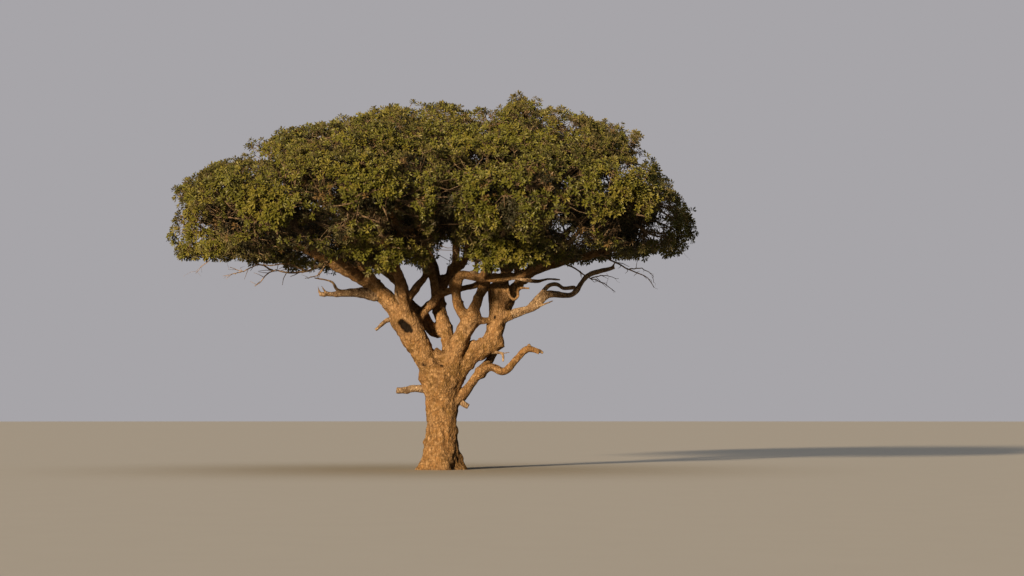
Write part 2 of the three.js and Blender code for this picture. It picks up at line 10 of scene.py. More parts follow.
import bpy
import numpy as np
from mathutils import Euler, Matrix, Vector


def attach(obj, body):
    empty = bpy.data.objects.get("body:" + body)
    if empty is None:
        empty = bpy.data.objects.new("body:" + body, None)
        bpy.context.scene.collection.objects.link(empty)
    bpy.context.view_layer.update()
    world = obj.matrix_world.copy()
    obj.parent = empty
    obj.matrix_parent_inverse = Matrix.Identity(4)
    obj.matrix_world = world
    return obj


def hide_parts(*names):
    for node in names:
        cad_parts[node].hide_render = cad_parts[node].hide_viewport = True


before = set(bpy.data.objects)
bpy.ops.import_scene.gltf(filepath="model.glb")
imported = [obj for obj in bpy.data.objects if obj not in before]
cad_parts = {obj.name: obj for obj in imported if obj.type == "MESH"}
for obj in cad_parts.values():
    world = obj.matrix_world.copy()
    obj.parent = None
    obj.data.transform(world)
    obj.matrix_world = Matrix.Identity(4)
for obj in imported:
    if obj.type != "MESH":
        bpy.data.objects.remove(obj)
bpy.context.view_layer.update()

# The camera stands far in front at eye height, with the tree left of the middle of its picture.
CAMERA_PLACE = (0, -70, 1.7)
CAMERA_TILT = math.radians(3.39)
CAMERA_PAN = math.radians(1.887)
CAMERA_LENS = 76.3
PICTURE_PLANE = 70  # how far in front of the camera the trunk stands

# Low warm light from the front left, soft light from overhead, and a pale surround.
KEY_TRAVEL = Vector((0.51, 0.86, -0.2))
KEY_STRENGTH = 6.0
KEY_COLOUR = (1.0, 0.75, 0.46)
KEY_SOFTNESS = math.radians(4)
SURROUND_COLOUR = (0.386, 0.376, 0.397)
SURROUND_LIGHT = 0.14
OVERHEAD_STRENGTH = 0.7
OVERHEAD_SOFTNESS = math.radians(80)
FLOOR_COLOUR = (0.56, 0.54, 0.5)
FLOOR_GLOW = (0.16, 0.15, 0.13)  # what light the floor sends back up into the tree
FLOOR_RINGS = (12, 60)
FLOOR_REACH = 700
FLOOR_SIDES = 96

# The trunk: height, half width and half depth, from the root flare to the crotch.
TRUNK_GIRTH = np.array([
    (0, 0.79, 0.76),
    (0.17, 0.69, 0.67),
    (0.42, 0.61, 0.59),
    (0.85, 0.545, 0.53),
    (1.45, 0.5, 0.49),
    (2.25, 0.5, 0.48),
    (2.55, 0.57, 0.5),
    (2.9, 0.74, 0.53),
    (3.3, 0.74, 0.45),
    (3.45, 0.5, 0.3),
])
TRUNK_LEAN = 0.02
ROOT_FLARE_HEIGHT = 0.6
ROOT_RIDGES = 5
ROOT_RIDGE_DEPTH = 0.15

# The limbs: the limb that each grows from and the share along it, up to the fork on the trunk, the
# radius at the start and at the tip, and the points that it bends through, the last being its tip.
LIMBS = {
    "left_bough": ("trunk", 0.78, (0.31, 0.44), [(-0.6, -0.03, 3.75), (-1.14, -0.08, 4.82)]),
    "left_limb": (
        "left_bough", 0.9, (0.29, 0.12),
        [(-1.66, -0.04, 5.42), (-2.2, -0.03, 5.92), (-3.2, 0, 6.52), (-4.9, -0.3, 7.35)],
    ),
    "left_snag": ("left_limb", 0.26, (0.135, 0.055), [(-2.5, -0.2, 5.64), (-3.88, -0.4, 5.6)]),
    "left_front_limb": ("left_limb", 0.44, (0.13, 0.075), [(-3.2, -1.5, 6.6), (-3.9, -3, 6.95)]),
    "left_back_limb": ("left_limb", 0.5, (0.13, 0.08), [(-3.4, 1.5, 7), (-4.1, 2.9, 7.45)]),
    "mid_left_limb": ("left_limb", 0.38, (0.14, 0.085), [(-2.9, 0.2, 7.3), (-3.6, 0.25, 8.4)]),
    "left_stub": ("left_bough", 0.9, (0.15, 0.045), [(-1.62, -0.16, 4.82), (-2.09, -0.2, 4.48)]),
    "front_left_limb": (
        "left_bough", 0.92, (0.18, 0.085),
        [(-1.2, -0.75, 5.6), (-1.45, -1.9, 6.45), (-1.75, -4.3, 7.15)],
    ),
    "top_left_limb": (
        "left_bough", 0.84, (0.165, 0.09),
        [
            (-0.56, 0.26, 5.08), (-0.16, 0.36, 5.5), (-0.18, 0.38, 5.98), (-0.55, 0.38, 7.2),
            (-0.95, 0.3, 9.2),
        ],
    ),
    "under_left_limb": (
        "front_left_limb", 0.42, (0.085, 0.06),
        [(-1.8, -1.95, 6.34), (-2.15, -2.05, 6.46)],
    ),
    "mid_front_left_limb": (
        "front_left_limb", 0.58, (0.105, 0.075),
        [(-1.35, -2.9, 7.5), (-1.8, -3.05, 8.4)],
    ),
    "centre_bough": ("trunk", 0.78, (0.38, 0.24), [(0.54, -0.2, 3.95), (1.03, -0.3, 4.9)]),
    "centre_left_limb": ("centre_bough", 0.92, (0.18, 0.135), [(0.59, -0.37, 5.18), (0.45, -0.5, 5.98)]),
    "long_right_limb": (
        "centre_left_limb", 0.97, (0.145, 0.085),
        [(0.68, -0.64, 6.22), (1.34, -0.85, 6.13), (2.35, -1.1, 6.16), (3.45, -1.6, 6.6)],
    ),
    "front_right_limb": ("long_right_limb", 0.32, (0.12, 0.08), [(1.5, -2.4, 6.5), (1.85, -4.3, 7.1)]),
    "right_front_limb": ("long_right_limb", 0.72, (0.1, 0.075), [(3.05, -2.1, 6.4), (3.8, -3.05, 6.95)]),
    "centre_right_limb": (
        "centre_bough", 0.94, (0.17, 0.09),
        [(1.18, -0.2, 5.45), (1.45, -0.05, 6.05), (1.56, 0.05, 7.2), (2, 0.12, 9.2)],
    ),
    "mid_front_right_limb": (
        "centre_right_limb", 0.45, (0.11, 0.075),
        [(1.7, -1.3, 7.5), (2, -2.75, 8.45)],
    ),
    "right_bough": (
        "trunk", 0.74, (0.33, 0.25),
        [(1, 0, 3.7), (1.58, 0, 4.02), (1.83, 0, 4.8), (1.78, 0.02, 5.8)],
    ),
    "right_snag": (
        "right_bough", 0.76, (0.14, 0.05),
        [
            (2.5, -0.12, 5.07), (3.05, -0.2, 5.25), (3.45, -0.26, 5.62), (4.22, -0.33, 5.62),
            (4.75, -0.36, 6.23), (5.6, -0.4, 6.49),
        ],
    ),
    "mid_right_limb": ("right_bough", 0.96, (0.17, 0.09), [(2.35, 0.1, 6.75), (3.75, -0.05, 8.5)]),
    "right_limb": (
        "right_bough", 0.86, (0.165, 0.1),
        [(2.9, 0.25, 6.33), (4.3, 0.25, 6.8), (5.45, 0.15, 7.08)],
    ),
    "low_right_limb": (
        "trunk", 0.56, (0.165, 0.085),
        [
            (0.73, -0.08, 2.4), (1.25, -0.1, 3.08), (1.62, -0.13, 3.29), (2.03, -0.16, 3.16),
            (2.42, -0.19, 3.52), (2.8, -0.2, 3.86), (3.18, -0.22, 3.78),
        ],
    ),
    "torn_stub": ("trunk", 0.58, (0.15, 0.085), [(0.48, -0.08, 2.23), (0.9, -0.11, 2.02)]),
    "back_right_limb": (
        "low_right_limb", 0.45, (0.15, 0.095),
        [(1.6, 0.42, 3.52), (1.85, 1.15, 4.25), (2.5, 2.3, 5.9), (3.7, 3.4, 7.4)],
    ),
    "back_limb": ("back_right_limb", 0.55, (0.11, 0.08), [(2.1, 3.4, 6.7), (1.75, 4.5, 7.5)]),
    "mid_back_right_limb": (
        "back_right_limb", 0.68, (0.105, 0.075),
        [(2.5, 2.7, 7.3), (2.4, 2.95, 8.55)],
    ),
    "low_left_stub": ("trunk", 0.76, (0.1, 0.065), [(-0.68, -0.02, 2.6), (-1.36, -0.05, 2.51)]),
    "back_bough": (
        "trunk", 0.8, (0.25, 0.175),
        [(0.28, 0.48, 4.05), (0.05, 0.75, 4.85), (-0.08, 0.85, 5.5), (0.02, 0.95, 6.15)],
    ),
    "middle_limb": ("back_bough", 0.94, (0.145, 0.115), [(0.43, 0.95, 6.55), (0.52, 1.1, 7.4)]),
    "mid_back_left_limb": ("back_bough", 0.93, (0.145, 0.08), [(-0.48, 1.7, 7.2), (-1.7, 2.85, 8.5)]),
    "back_left_limb": (
        "back_bough", 0.56, (0.19, 0.095),
        [(-0.16, 0.72, 4.44), (-0.52, 0.95, 4.95), (-1, 1.4, 5.4), (-1.3, 2.4, 6.2), (-1.75, 4.4, 7.45)],
    ),
}
DEAD_LIMBS = ("left_snag", "right_snag", "left_stub", "low_left_stub", "torn_stub")

# The masses of foliage: the limb whose tip carries each, the middle of its space and its half sizes.
MASSES = {
    "left_foliage": ("left_limb", (-6.55, -0.4, 8.15), (2.4, 2.9, 1.75)),
    "left_front_foliage": ("left_front_limb", (-4.9, -4.35, 8.1), (2.6, 2.6, 1.6)),
    "front_left_foliage": ("front_left_limb", (-2.05, -5.75, 8.3), (2.5, 2.25, 1.45)),
    "front_right_foliage": ("front_right_limb", (2.2, -5.75, 8.3), (2.5, 2.25, 1.45)),
    "right_front_foliage": ("right_front_limb", (4.9, -4.2, 8.15), (2.5, 2.6, 1.6)),
    "right_foliage": ("right_limb", (6.15, 0, 8.15), (2.3, 2.9, 1.6)),
    "right_back_foliage": ("back_right_limb", (4.9, 4.3, 8.5), (2.5, 2.6, 1.75)),
    "back_right_foliage": ("back_limb", (2, 5.75, 8.65), (2.5, 2.25, 1.75)),
    "back_left_foliage": ("back_left_limb", (-2.1, 5.75, 8.6), (2.5, 2.25, 1.75)),
    "left_back_foliage": ("left_back_limb", (-5, 4.2, 8.4), (2.6, 2.6, 1.75)),
    "mid_left_foliage": ("mid_left_limb", (-4.25, 0, 9.55), (2.35, 2.8, 1.55)),
    "mid_front_left_foliage": ("mid_front_left_limb", (-2.4, -3.3, 9.5), (2.6, 2.6, 1.6)),
    "mid_front_right_foliage": ("mid_front_right_limb", (2.4, -3.3, 9.75), (2.6, 2.6, 1.7)),
    "mid_right_foliage": ("mid_right_limb", (4.7, 0, 9.9), (2.25, 2.8, 1.65)),
    "mid_back_right_foliage": ("mid_back_right_limb", (2.5, 3.4, 9.9), (2.6, 2.6, 1.7)),
    "mid_back_left_foliage": ("mid_back_left_limb", (-2.4, 3.4, 9.85), (2.6, 2.6, 1.7)),
    "top_left_foliage": ("top_left_limb", (-0.95, 0.1, 10.5), (2.45, 2.6, 1.56)),
    "top_right_foliage": ("centre_right_limb", (2.45, 0.1, 10.5), (2.3, 2.6, 1.56)),
    "under_left_foliage": ("under_left_limb", (-1.9, -2.95, 7.1), (2.1, 1.6, 1.3)),
    "under_right_foliage": ("long_right_limb", (2.3, -2.75, 7.35), (1.95, 1.55, 1.2)),
    "middle_foliage": ("middle_limb", (0.5, 1.5, 8.7), (1.7, 1.7, 1.2)),
}

# How the masses grow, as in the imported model.
CURVE_STEPS = 200
SPRAY_LENGTH = 1.0
SPRAY_DIRECTIONS = 27
FORKS_PER_STEM = 5
FORK_SHARE = 0.42
FORK_RADIUS = 0.06
TWIG_RADIUS = 0.042
TWIG_TIP_RADIUS = 0.018
DOME_BULGE = 2.4
BASE_BULGE = 3.2
CROWN_MIDDLE = np.array((0, 0, 8.2))
FOLIAGE_CLEARANCE = 0.07
MASS_GAP = 0.04
GOLDEN_ANGLE = math.pi * (3 - math.sqrt(5))

# The finer growth: sprigs that fork into shoots, with a whorl of leaves on the end of each.
SPRIGS_PER_MASS = 900
USUAL_MASS = 5  # the share of a mass's size that grows that many sprigs
SHOOTS_PER_SPRIG = 5
INNER_SHARE = 0.2  # sprigs kept where a mass runs into its neighbours
SEAM_FILL = 0.2  # how full the seams between neighbouring masses grow
BROAD_CLUMPS = 0.95
SMALL_CLUMPS = 0.42
THIN_PLACES = 0.02  # below this, the clumps leave a dark gap between sprays
STRAY_SHARE = 0.08  # sprigs kept in such a gap
HOLLOW_SHARE = 0.12  # sprigs kept at the front of a dark hollow
DEEPER_SHARE = 0.2  # sprigs that grow deep inside the crown
PROUD_SHARE = 0.16  # sprigs that stand out of its skin
SKIN_DEPTH = 0.5  # how far in from the skin a sprig forks, on average
FORK_ROOM = (0.14, 0.16)  # how far forks keep from the limbs and inside the outline
WHORL_ROOM = (0.17, 0.08)  # the same for whorls
RAGGED = 0.5  # how much the room inside the outline varies from spray to spray
UNDERSIDE = 7.8  # below this height it varies more
DRIFT_SIZE = 1.3  # the size of the drifts of leaves of one age
SPRIG_RADIUS = 0.014
SHOOT_LENGTH = 0.27
LEAVES_PER_WHORL = 9
LEAF_LENGTH = 0.15
LEAF_WIDTH = 0.06
LEAF_BROADEST = 0.62  # how far along its length a leaf is broadest
WHORL_KINDS = 8

# The crown's outline in the front view, from its left end over the top and back along its underside:
# how far across and how high, at the trunk.
CROWN_OUTLINE = [
    (-8.5, 7.2), (-8.75, 7.8), (-8.42, 8.5), (-8.55, 9.1), (-7.55, 9.75), (-6.7, 9.93), (-6.3, 10.1),
    (-6.1, 10.5), (-5.75, 10.55), (-5.45, 11.0), (-5.2, 11.0), (-4.4, 11.05), (-3.2, 11.28),
    (-1.9, 11.85), (-1.2, 11.7), (-0.4, 11.9), (0, 12.1), (0.77, 11.55), (1.5, 11.4), (1.95, 11.7),
    (2.4, 12.08), (2.9, 12.05), (3.35, 11.7), (4.1, 11.5), (5.1, 11.38), (5.9, 11.25), (6.5, 10.8),
    (6.1, 10.35), (7.0, 10.15), (6.98, 9.45),
    (7.75, 8.8), (8.2, 8.2), (8.45, 7.5), (8.3, 6.85), (7.6, 6.9), (7.0, 6.85), (6.0, 6.8), (4.6, 6.75),
    (3.4, 6.6), (2.0, 6.5), (0.8, 6.5), (0.1, 6.7), (-0.4, 6.3), (-1.6, 6.15), (-2.8, 6.3), (-3.6, 6.4),
    (-4.6, 6.4), (-5.4, 6.65), (-6.5, 6.75), (-7.6, 6.8), (-8.3, 6.7), (-9.05, 6.85), (-8.5, 7.2),
]
OUTLINE_MIDDLE = (-0.2, 8.4)

# Where the low sun finds a way through the crown to the limbs: places on the lit limbs.
SUNLIT_PLACES = [
    (0.85, -0.66, 6.2), (1.6, -0.87, 6.13), (2.5, -1.15, 6.2), (-2.7, -0.1, 6.3), (-3.2, -0.1, 6.5),
]
SHAFT_RADIUS = 0.34

# Where the front view shows a limb bare of leaves: middle and half sizes across and up.
BARE_PLACES = [(-3.1, 6.5, 0.75, 0.3), (-4.3, 6.85, 0.6, 0.2), (5.25, 7.0, 0.6, 0.16)]

# Sprays that stand out of the crown or hang from it: the mass that carries each, its place across and
# up in the front view and how far back it stands, its half width and how many sprigs it has.
TUFTS = [
    ("under_right_foliage", (1.75, 6.95), -4.5, 0.5, 24),
    ("under_right_foliage", (1.2, 7.25), -4.2, 0.35, 12),
    ("under_right_foliage", (2.6, 6.85), -4.3, 0.45, 16),
    ("under_left_foliage", (-1.45, 6.95), -4.7, 0.45, 18),
    ("under_left_foliage", (-0.45, 7.1), -3.6, 0.4, 16),
    ("mid_left_foliage", (-6.06, 10.42), 0, 0.16, 5),
    ("mid_left_foliage", (-5.42, 10.9), 0, 0.2, 6),
    ("top_left_foliage", (0.1, 11.95), 0, 0.2, 10),
    ("top_left_foliage", (0.6, 11.7), 0, 0.3, 12),
    ("left_foliage", (-8.8, 6.88), -0.4, 0.13, 6),
    ("left_foliage", (-8.2, 7.0), -0.4, 0.3, 12),
    ("right_foliage", (7.85, 7.1), 0, 0.25, 9),
    ("right_foliage", (8.0, 8.1), 0, 0.4, 14),
    ("right_foliage", (8.15, 7.55), 0, 0.3, 12),
    ("right_foliage", (8.2, 7.1), 0, 0.2, 9),
    ("right_foliage", (6.4, 6.88), 0, 0.3, 9),
    ("top_right_foliage", (2.6, 11.85), 0, 0.25, 9),
    ("mid_right_foliage", (5.5, 11.15), 0, 0.22, 9),
    ("mid_right_foliage", (6.35, 10.72), 0, 0.2, 9),
    ("under_left_foliage", (-3.9, 6.5), -0.6, 0.3, 6),
]

# Where the front view shows sky through the crown: middle and half sizes across and up, at the trunk.
SKY_GAPS = [
    (0.17, 7.0, 0.2, 0.42),
    (3.9, 8.15, 0.16, 0.14),
    (3.95, 7.75, 0.2, 0.12),
    (4.4, 7.5, 0.14, 0.12),
    (6.0, 9.67, 0.15, 0.12),
    (5.4, 9.36, 0.12, 0.1),
    (6.7, 9.7, 0.14, 0.16),
    (6.5, 7.75, 0.1, 0.08),
    (7.0, 7.8, 0.1, 0.08),
    (7.27, 8.55, 0.08, 0.08),
    (-7.6, 7.86, 0.1, 0.08),
    (-8.25, 7.62, 0.1, 0.08),
    (-4.4, 8.36, 0.12, 0.12),
    (-5.95, 10.2, 0.3, 0.09),
]

# Where the front view looks past the outer leaves into the dark of the crown, where the whorls also get
# painted shade: middle and half sizes.
HOLLOWS = [
    (-5.0, 7.2, 1.5, 0.42),
    (-3.6, 7.7, 0.6, 0.5),
    (0.1, 8.3, 0.3, 0.8),
    (4.2, 7.75, 0.9, 0.45),
    (5.9, 7.5, 0.8, 0.35),
    (2.2, 8.3, 0.3, 0.5),
    (-2.2, 8.6, 0.45, 0.25),
    (-6.6, 7.9, 0.5, 0.3),
    (3.4, 9.4, 0.35, 0.25),
    (-0.9, 9.9, 0.4, 0.25),
]

body = "root"
MASK = 0xFFFFFFFF


def unit(vectors):
    """Vectors of length 1 in the same directions."""
    return vectors / np.maximum(np.linalg.norm(vectors, axis=-1, keepdims=True), 1e-9)


def seeded(seed):
    """A repeatable stream of random numbers from 0 to 1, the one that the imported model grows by."""
    state = seed & MASK
    while True:
        state = (state + 0x6D2B79F5) & MASK
        mixed = ((state ^ (state >> 15)) * (state | 1)) & MASK
        mixed ^= (mixed + (((mixed ^ (mixed >> 7)) * (mixed | 61)) & MASK)) & MASK
        yield (mixed ^ (mixed >> 14)) / 2**32


def even_directions(count):
    """Directions spread evenly over a sphere, in a spiral from the top to the bottom."""
    steps = np.arange(count)
    height = 1 - (2 * steps + 1) / count
    flat = np.sqrt(1 - height**2)
    turn = steps * GOLDEN_ANGLE
    return np.stack([np.cos(turn) * flat, np.sin(turn) * flat, height], axis=1)


def lattice_noise(points, seed):
    """Smooth noise from -1 to 1 at each point, with about one lump to the unit."""
    cell = np.floor(points).astype(np.int64)
    part = points - cell
    ease = part * part * (3 - 2 * part)
    total = np.zeros(len(points))
    for corner in np.ndindex(2, 2, 2):
        x, y, z = (cell + corner).T
        mixed = (x * 73856093 ^ y * 19349663 ^ z * 83492791 ^ seed * 40503) & MASK
        for _ in range(2):
            mixed = ((mixed ^ (mixed >> 16)) * 0x45D9F3B) & MASK
        value = (mixed ^ (mixed >> 16)) / 2**31 - 1
        total += value * np.prod(np.where(corner, ease, 1 - ease), axis=1)
    return total


class Limb:
    """A limb, stem or twig: points along its middle, and its radius at each of them."""

    def __init__(self, path, radius_at):
        self.path = path
        steps = np.linalg.norm(np.diff(path, axis=0), axis=1)
        self.far = np.concatenate([[0], np.cumsum(steps)])
        self.length = self.far[-1]
        self.radii = radius_at(self.far / self.length, self.length)

    def at(self, shares):
        """The points that lie at shares of the limb's length."""
        far = np.atleast_1d(shares) * self.length
        return np.stack([np.interp(far, self.far, self.path[:, axis]) for axis in range(3)], axis=1)

    def radius(self, shares):
        """The limb's radius at shares of its length."""
        return np.interp(np.atleast_1d(shares) * self.length, self.far, self.radii)

    def end_heading(self):
        """The direction in which the limb's tip points."""
        return unit(self.path[-1] - self.path[-2])

    def even(self, spacing):
        """Evenly spaced points and radii, about a spacing apart."""
        shares = np.linspace(0, 1, max(3, math.ceil(self.length / spacing) + 1))
        return self.at(shares), self.radius(shares)


def smooth_path(points):
    """Points along the curve that a limb follows through its bends."""
    points = [np.array(point, float) for point in points]
    spans = len(points) - 1
    posts = [2 * points[0] - points[1], *points, 2 * points[-1] - points[-2]]
    path = []
    for place in np.linspace(0, spans, CURVE_STEPS + 1):
        span = min(int(place), spans - 1)
        part = place - span
        p0, p1, p2, p3 = posts[span:span + 4]
        d0, d1, d2 = (math.sqrt(np.linalg.norm(b - a)) for a, b in ((p0, p1), (p1, p2), (p2, p3)))
        start = ((p1 - p0) / d0 - (p2 - p0) / (d0 + d1) + (p2 - p1) / d1) * d1
        end = ((p2 - p1) / d1 - (p3 - p1) / (d1 + d2) + (p3 - p2) / d2) * d1
        square, cube = part**2, part**3
        path.append(
            p1 + start * part + (3 * (p2 - p1) - 2 * start - end) * square
            + (2 * (p1 - p2) + start + end) * cube
        )
    return np.array(path)


def on_curve(start, bend, end, t):
    """The points at shares t of a curve from a start to an end, drawn towards a bend."""
    return start * (1 - t) ** 2 + bend * 2 * t * (1 - t) + end * t**2


def tapering(thick_start, thick_tip):
    """The radius along a limb that swells a little where it leaves the limb that carries it."""
    def radius_at(shares, length):
        flare = 1 + 0.2 * np.exp(-shares * length / 0.35)
        return (thick_tip + (thick_start - thick_tip) * (1 - shares) ** 0.9) * flare
    return radius_at


def trunk_limb():
    """The trunk's middle line, with its mean girth."""
    heights = np.linspace(0, TRUNK_GIRTH[-1, 0], CURVE_STEPS)
    path = np.stack([heights * TRUNK_LEAN, heights * 0, heights], axis=1)
    girth = np.interp(heights, TRUNK_GIRTH[:, 0], TRUNK_GIRTH[:, 1:].mean(axis=1))
    return Limb(path, lambda shares, length: girth)


def grow_limbs(plans, known):
    """The limbs of a table by name, each on a known limb or on one that stands before it."""
    grown = {}
    for name, (carrier, share, thick, bends) in plans.items():
        if carrier == "trunk":
            share *= TRUNK_GIRTH[-2, 0] / TRUNK_GIRTH[-1, 0]
        start = {**known, **grown}[carrier].at(share)[0]
        grown[name] = Limb(smooth_path([start, *bends]), tapering(*thick))
    return grown


limbs = {"trunk": trunk_limb()}
limbs.update(grow_limbs(LIMBS, limbs))


class Mass:
    """A mass of foliage in its own space, on a stem that goes on from the tip of its bough."""

    def __init__(self, name, number, bough, centre, half):
        self.name = name
        self.number = number
        self.bough = bough
        self.centre = np.array(centre, float)
        self.half = np.array(half, float)
        self.foot = bough.path[-1]
        self.walls = []
        along = bough.end_heading()
        bend = self.foot + along * np.linalg.norm(self.foot - self.centre) * 0.3
        path = on_curve(self.foot, bend, self.centre, np.linspace(0, 1, 24)[:, None])
        thick = bough.radii[-1]
        self.stem = Limb(path, lambda shares, length: thick * (1 - 0.35 * shares))

    def share_of_outline(self, offsets):
        """How far out offsets lie, up to 1 at the outline, which is a dome over a flatter base."""
        bulge = np.where(offsets[:, 2] < 0, BASE_BULGE, DOME_BULGE)
        flat = np.hypot(offsets[:, 0] / self.half[0], offsets[:, 1] / self.half[1])
        return (flat**bulge + np.abs(offsets[:, 2] / self.half[2]) ** bulge) ** (1 / bulge)

    def find_walls(self, masses):
        """Flat walls that share the space between neighbours, and one over the tip of the bough."""
        for other in masses:
            if other is self:
                continue
            distance = np.linalg.norm(other.centre - self.centre)
            normal = (other.centre - self.centre) / distance
            mine = 1 / np.linalg.norm(normal / self.half)
            theirs = 1 / np.linalg.norm(normal / other.half)
            if distance < 1.4 * (mine + theirs):
                self.walls.append((normal, distance * mine / (mine + theirs) - MASS_GAP / 2))
        back = self.foot - self.centre
        normal = unit(unit(back) - self.bough.end_heading())
        self.walls.append((normal, back @ normal - FOLIAGE_CLEARANCE))

    def reach(self, directions):
        """How far the outline and the mass itself reach from its middle in each direction."""
        outline = 1 / self.share_of_outline(directions)
        reach = outline.copy()
        for normal, distance in self.walls:
            towards = directions @ normal
            cut = distance / np.maximum(towards, 1e-6)
            reach = np.where(towards > 1e-6, np.minimum(reach, cut), reach)
        return outline, reach

    def facing(self, offsets):
        """The way out through the outline near each offset."""
        step = 0.01
        slopes = [
            self.share_of_outline(offsets + step * axis) - self.share_of_outline(offsets - step * axis)
            for axis in np.eye(3)
        ]
        return unit(np.stack(slopes, axis=1))

    def growth(self, count, stream):
        """Directions spread evenly round the mass, each a little out of place."""
        draws = np.array([[next(stream) for _ in range(4)] for _ in range(count)])
        return unit((even_directions(count) + (draws[:, :3] - 0.5) * 0.25) * self.half)


def grow_masses():
    """Every mass, with its walls."""
    masses = [
        Mass(name, number + 1, limbs[carrier], centre, half)
        for number, (name, (carrier, centre, half)) in enumerate(MASSES.items())
    ]
    for mass in masses:
        mass.find_walls(masses)
    return masses


masses = grow_masses()


def copied(shapes, faces):
    """Corners and faces of many copies of a shape, from each copy's corners and the shape's faces."""
    count, size, _ = shapes.shape
    every = faces[None] + (np.arange(count) * size)[:, None, None]
    return shapes.reshape(-1, 3), every.reshape(-1, 3)


def tubes(paths, radii, sides):
    """Corners and faces of closed tubes along paths that all have the same number of points."""
    count, steps, _ = paths.shape
    along = unit(np.gradient(paths, axis=1))
    chords = np.abs(paths[:, -1] - paths[:, 0])
    steady = np.eye(3)[np.argmin(chords, axis=1)][:, None, :]
    across = unit(np.cross(along, steady))
    over = np.cross(along, across)
    angles = 2 * np.pi * np.arange(sides) / sides
    spokes = across[:, :, None] * np.cos(angles)[:, None] + over[:, :, None] * np.sin(angles)[:, None]
    corners = paths[:, :, None] + spokes * radii[:, :, None, None]
    near = np.arange(sides)
    following = (near + 1) % sides
    faces = []
    for step in range(steps - 1):
        a, b = near + step * sides, following + step * sides
        faces += [np.stack([a, b, b + sides], 1), np.stack([a, b + sides, a + sides], 1)]
    fan = np.arange(1, sides - 1)
    last = (steps - 1) * sides
    faces.append(np.stack([fan * 0, fan + 1, fan], 1))
    faces.append(np.stack([fan * 0 + last, fan + last, fan + 1 + last], 1))
    return copied(corners.reshape(count, steps * sides, 3), np.concatenate(faces))


def spikes(roots, tips, radius):
    """Corners and faces of thin three-sided shoots that run to a point."""
    along = unit(tips - roots)
    turned = frames_about(along, np.zeros(len(along)))[:, None]
    angles = 2 * np.pi * np.arange(3) / 3
    spokes = turned[..., 0] * np.cos(angles)[:, None] + turned[..., 1] * np.sin(angles)[:, None]
    corners = np.concatenate([roots[:, None] + spokes * radius, tips[:, None]], axis=1)
    return copied(corners, np.array([(0, 1, 3), (1, 2, 3), (2, 0, 3), (0, 2, 1)]))


def joined(parts):
    """One array of corners and one of faces from several pairs of them."""
    starts = np.cumsum([0] + [len(corners) for corners, _ in parts[:-1]])
    corners = np.concatenate([corners for corners, _ in parts])
    return corners, np.concatenate([faces + start for (_, faces), start in zip(parts, starts)])


def new_mesh(name, corners, faces, smooth):
    """A mesh from arrays of corners and three-cornered faces."""
    mesh = bpy.data.meshes.new(name)
    mesh.vertices.add(len(corners))
    mesh.vertices.foreach_set("co", np.asarray(corners, np.float32).ravel())
    mesh.loops.add(faces.size)
    mesh.loops.foreach_set("vertex_index", faces.astype(np.int32).ravel())
    mesh.polygons.add(len(faces))
    mesh.polygons.foreach_set("loop_start", np.arange(0, faces.size, 3, dtype=np.int32))
    mesh.polygons.foreach_set("use_smooth", np.full(len(faces), smooth))
    mesh.update(calc_edges=True)
    return mesh


def new_object(name, data):
    """An object in the scene."""
    thing = bpy.data.objects.new(name, data)
    bpy.context.scene.collection.objects.link(thing)
    return thing


def new_piece(name, mesh, finish, stands_for):
    """An object that rides on the tree's one body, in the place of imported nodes."""
    mesh.materials.clear()
    mesh.materials.append(finish)
    piece = new_object(name, mesh)
    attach(piece, body)
    if stands_for:
        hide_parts(*stands_for)
    return piece


# Shader effects that several finishes share.

def new_group(name, inputs, outputs):
    """An empty shader group with number inputs, and its way in and way out."""
    group = bpy.data.node_groups.new(name, "ShaderNodeTree")
    for label, value in inputs.items():
        socket = group.interface.new_socket(label, in_out="INPUT", socket_type="NodeSocketFloat")
        socket.default_value = value
    for label in outputs:
        group.interface.new_socket(label, in_out="OUTPUT", socket_type="NodeSocketFloat")
    return group, group.nodes.new("NodeGroupInput"), group.nodes.new("NodeGroupOutput")


def fill_sockets(tree, node, sources):
    """Links or values for a node's inputs."""
    for socket, source in dict(sources).items():
        if hasattr(source, "is_output"):
            tree.links.new(source, node.inputs[socket])
        else:
            node.inputs[socket].default_value = source


def add_node(tree, kind, sources=(), **settings):
    """A node with its settings, and links or values for its inputs."""
    node = tree.nodes.new(kind)
    for label, value in settings.items():
        setattr(node, label, value)
    fill_sockets(tree, node, sources)
    return node


def reckon(tree, operation, *inputs):
    """The outcome of one step of arithmetic."""
    return add_node(tree, "ShaderNodeMath", enumerate(inputs), operation=operation).outputs[0]


def reckon_vector(tree, operation, inputs):
    """The outcome of one step of arithmetic with vectors."""
    return add_node(tree, "ShaderNodeVectorMath", inputs, operation=operation).outputs["Vector"]


def ramp(tree, value, limits, kind="LINEAR"):
    """A value carried from one pair of limits to another."""
    links = {"Value": value, **limits}
    return add_node(tree, "ShaderNodeMapRange", links, interpolation_type=kind).outputs["Result"]


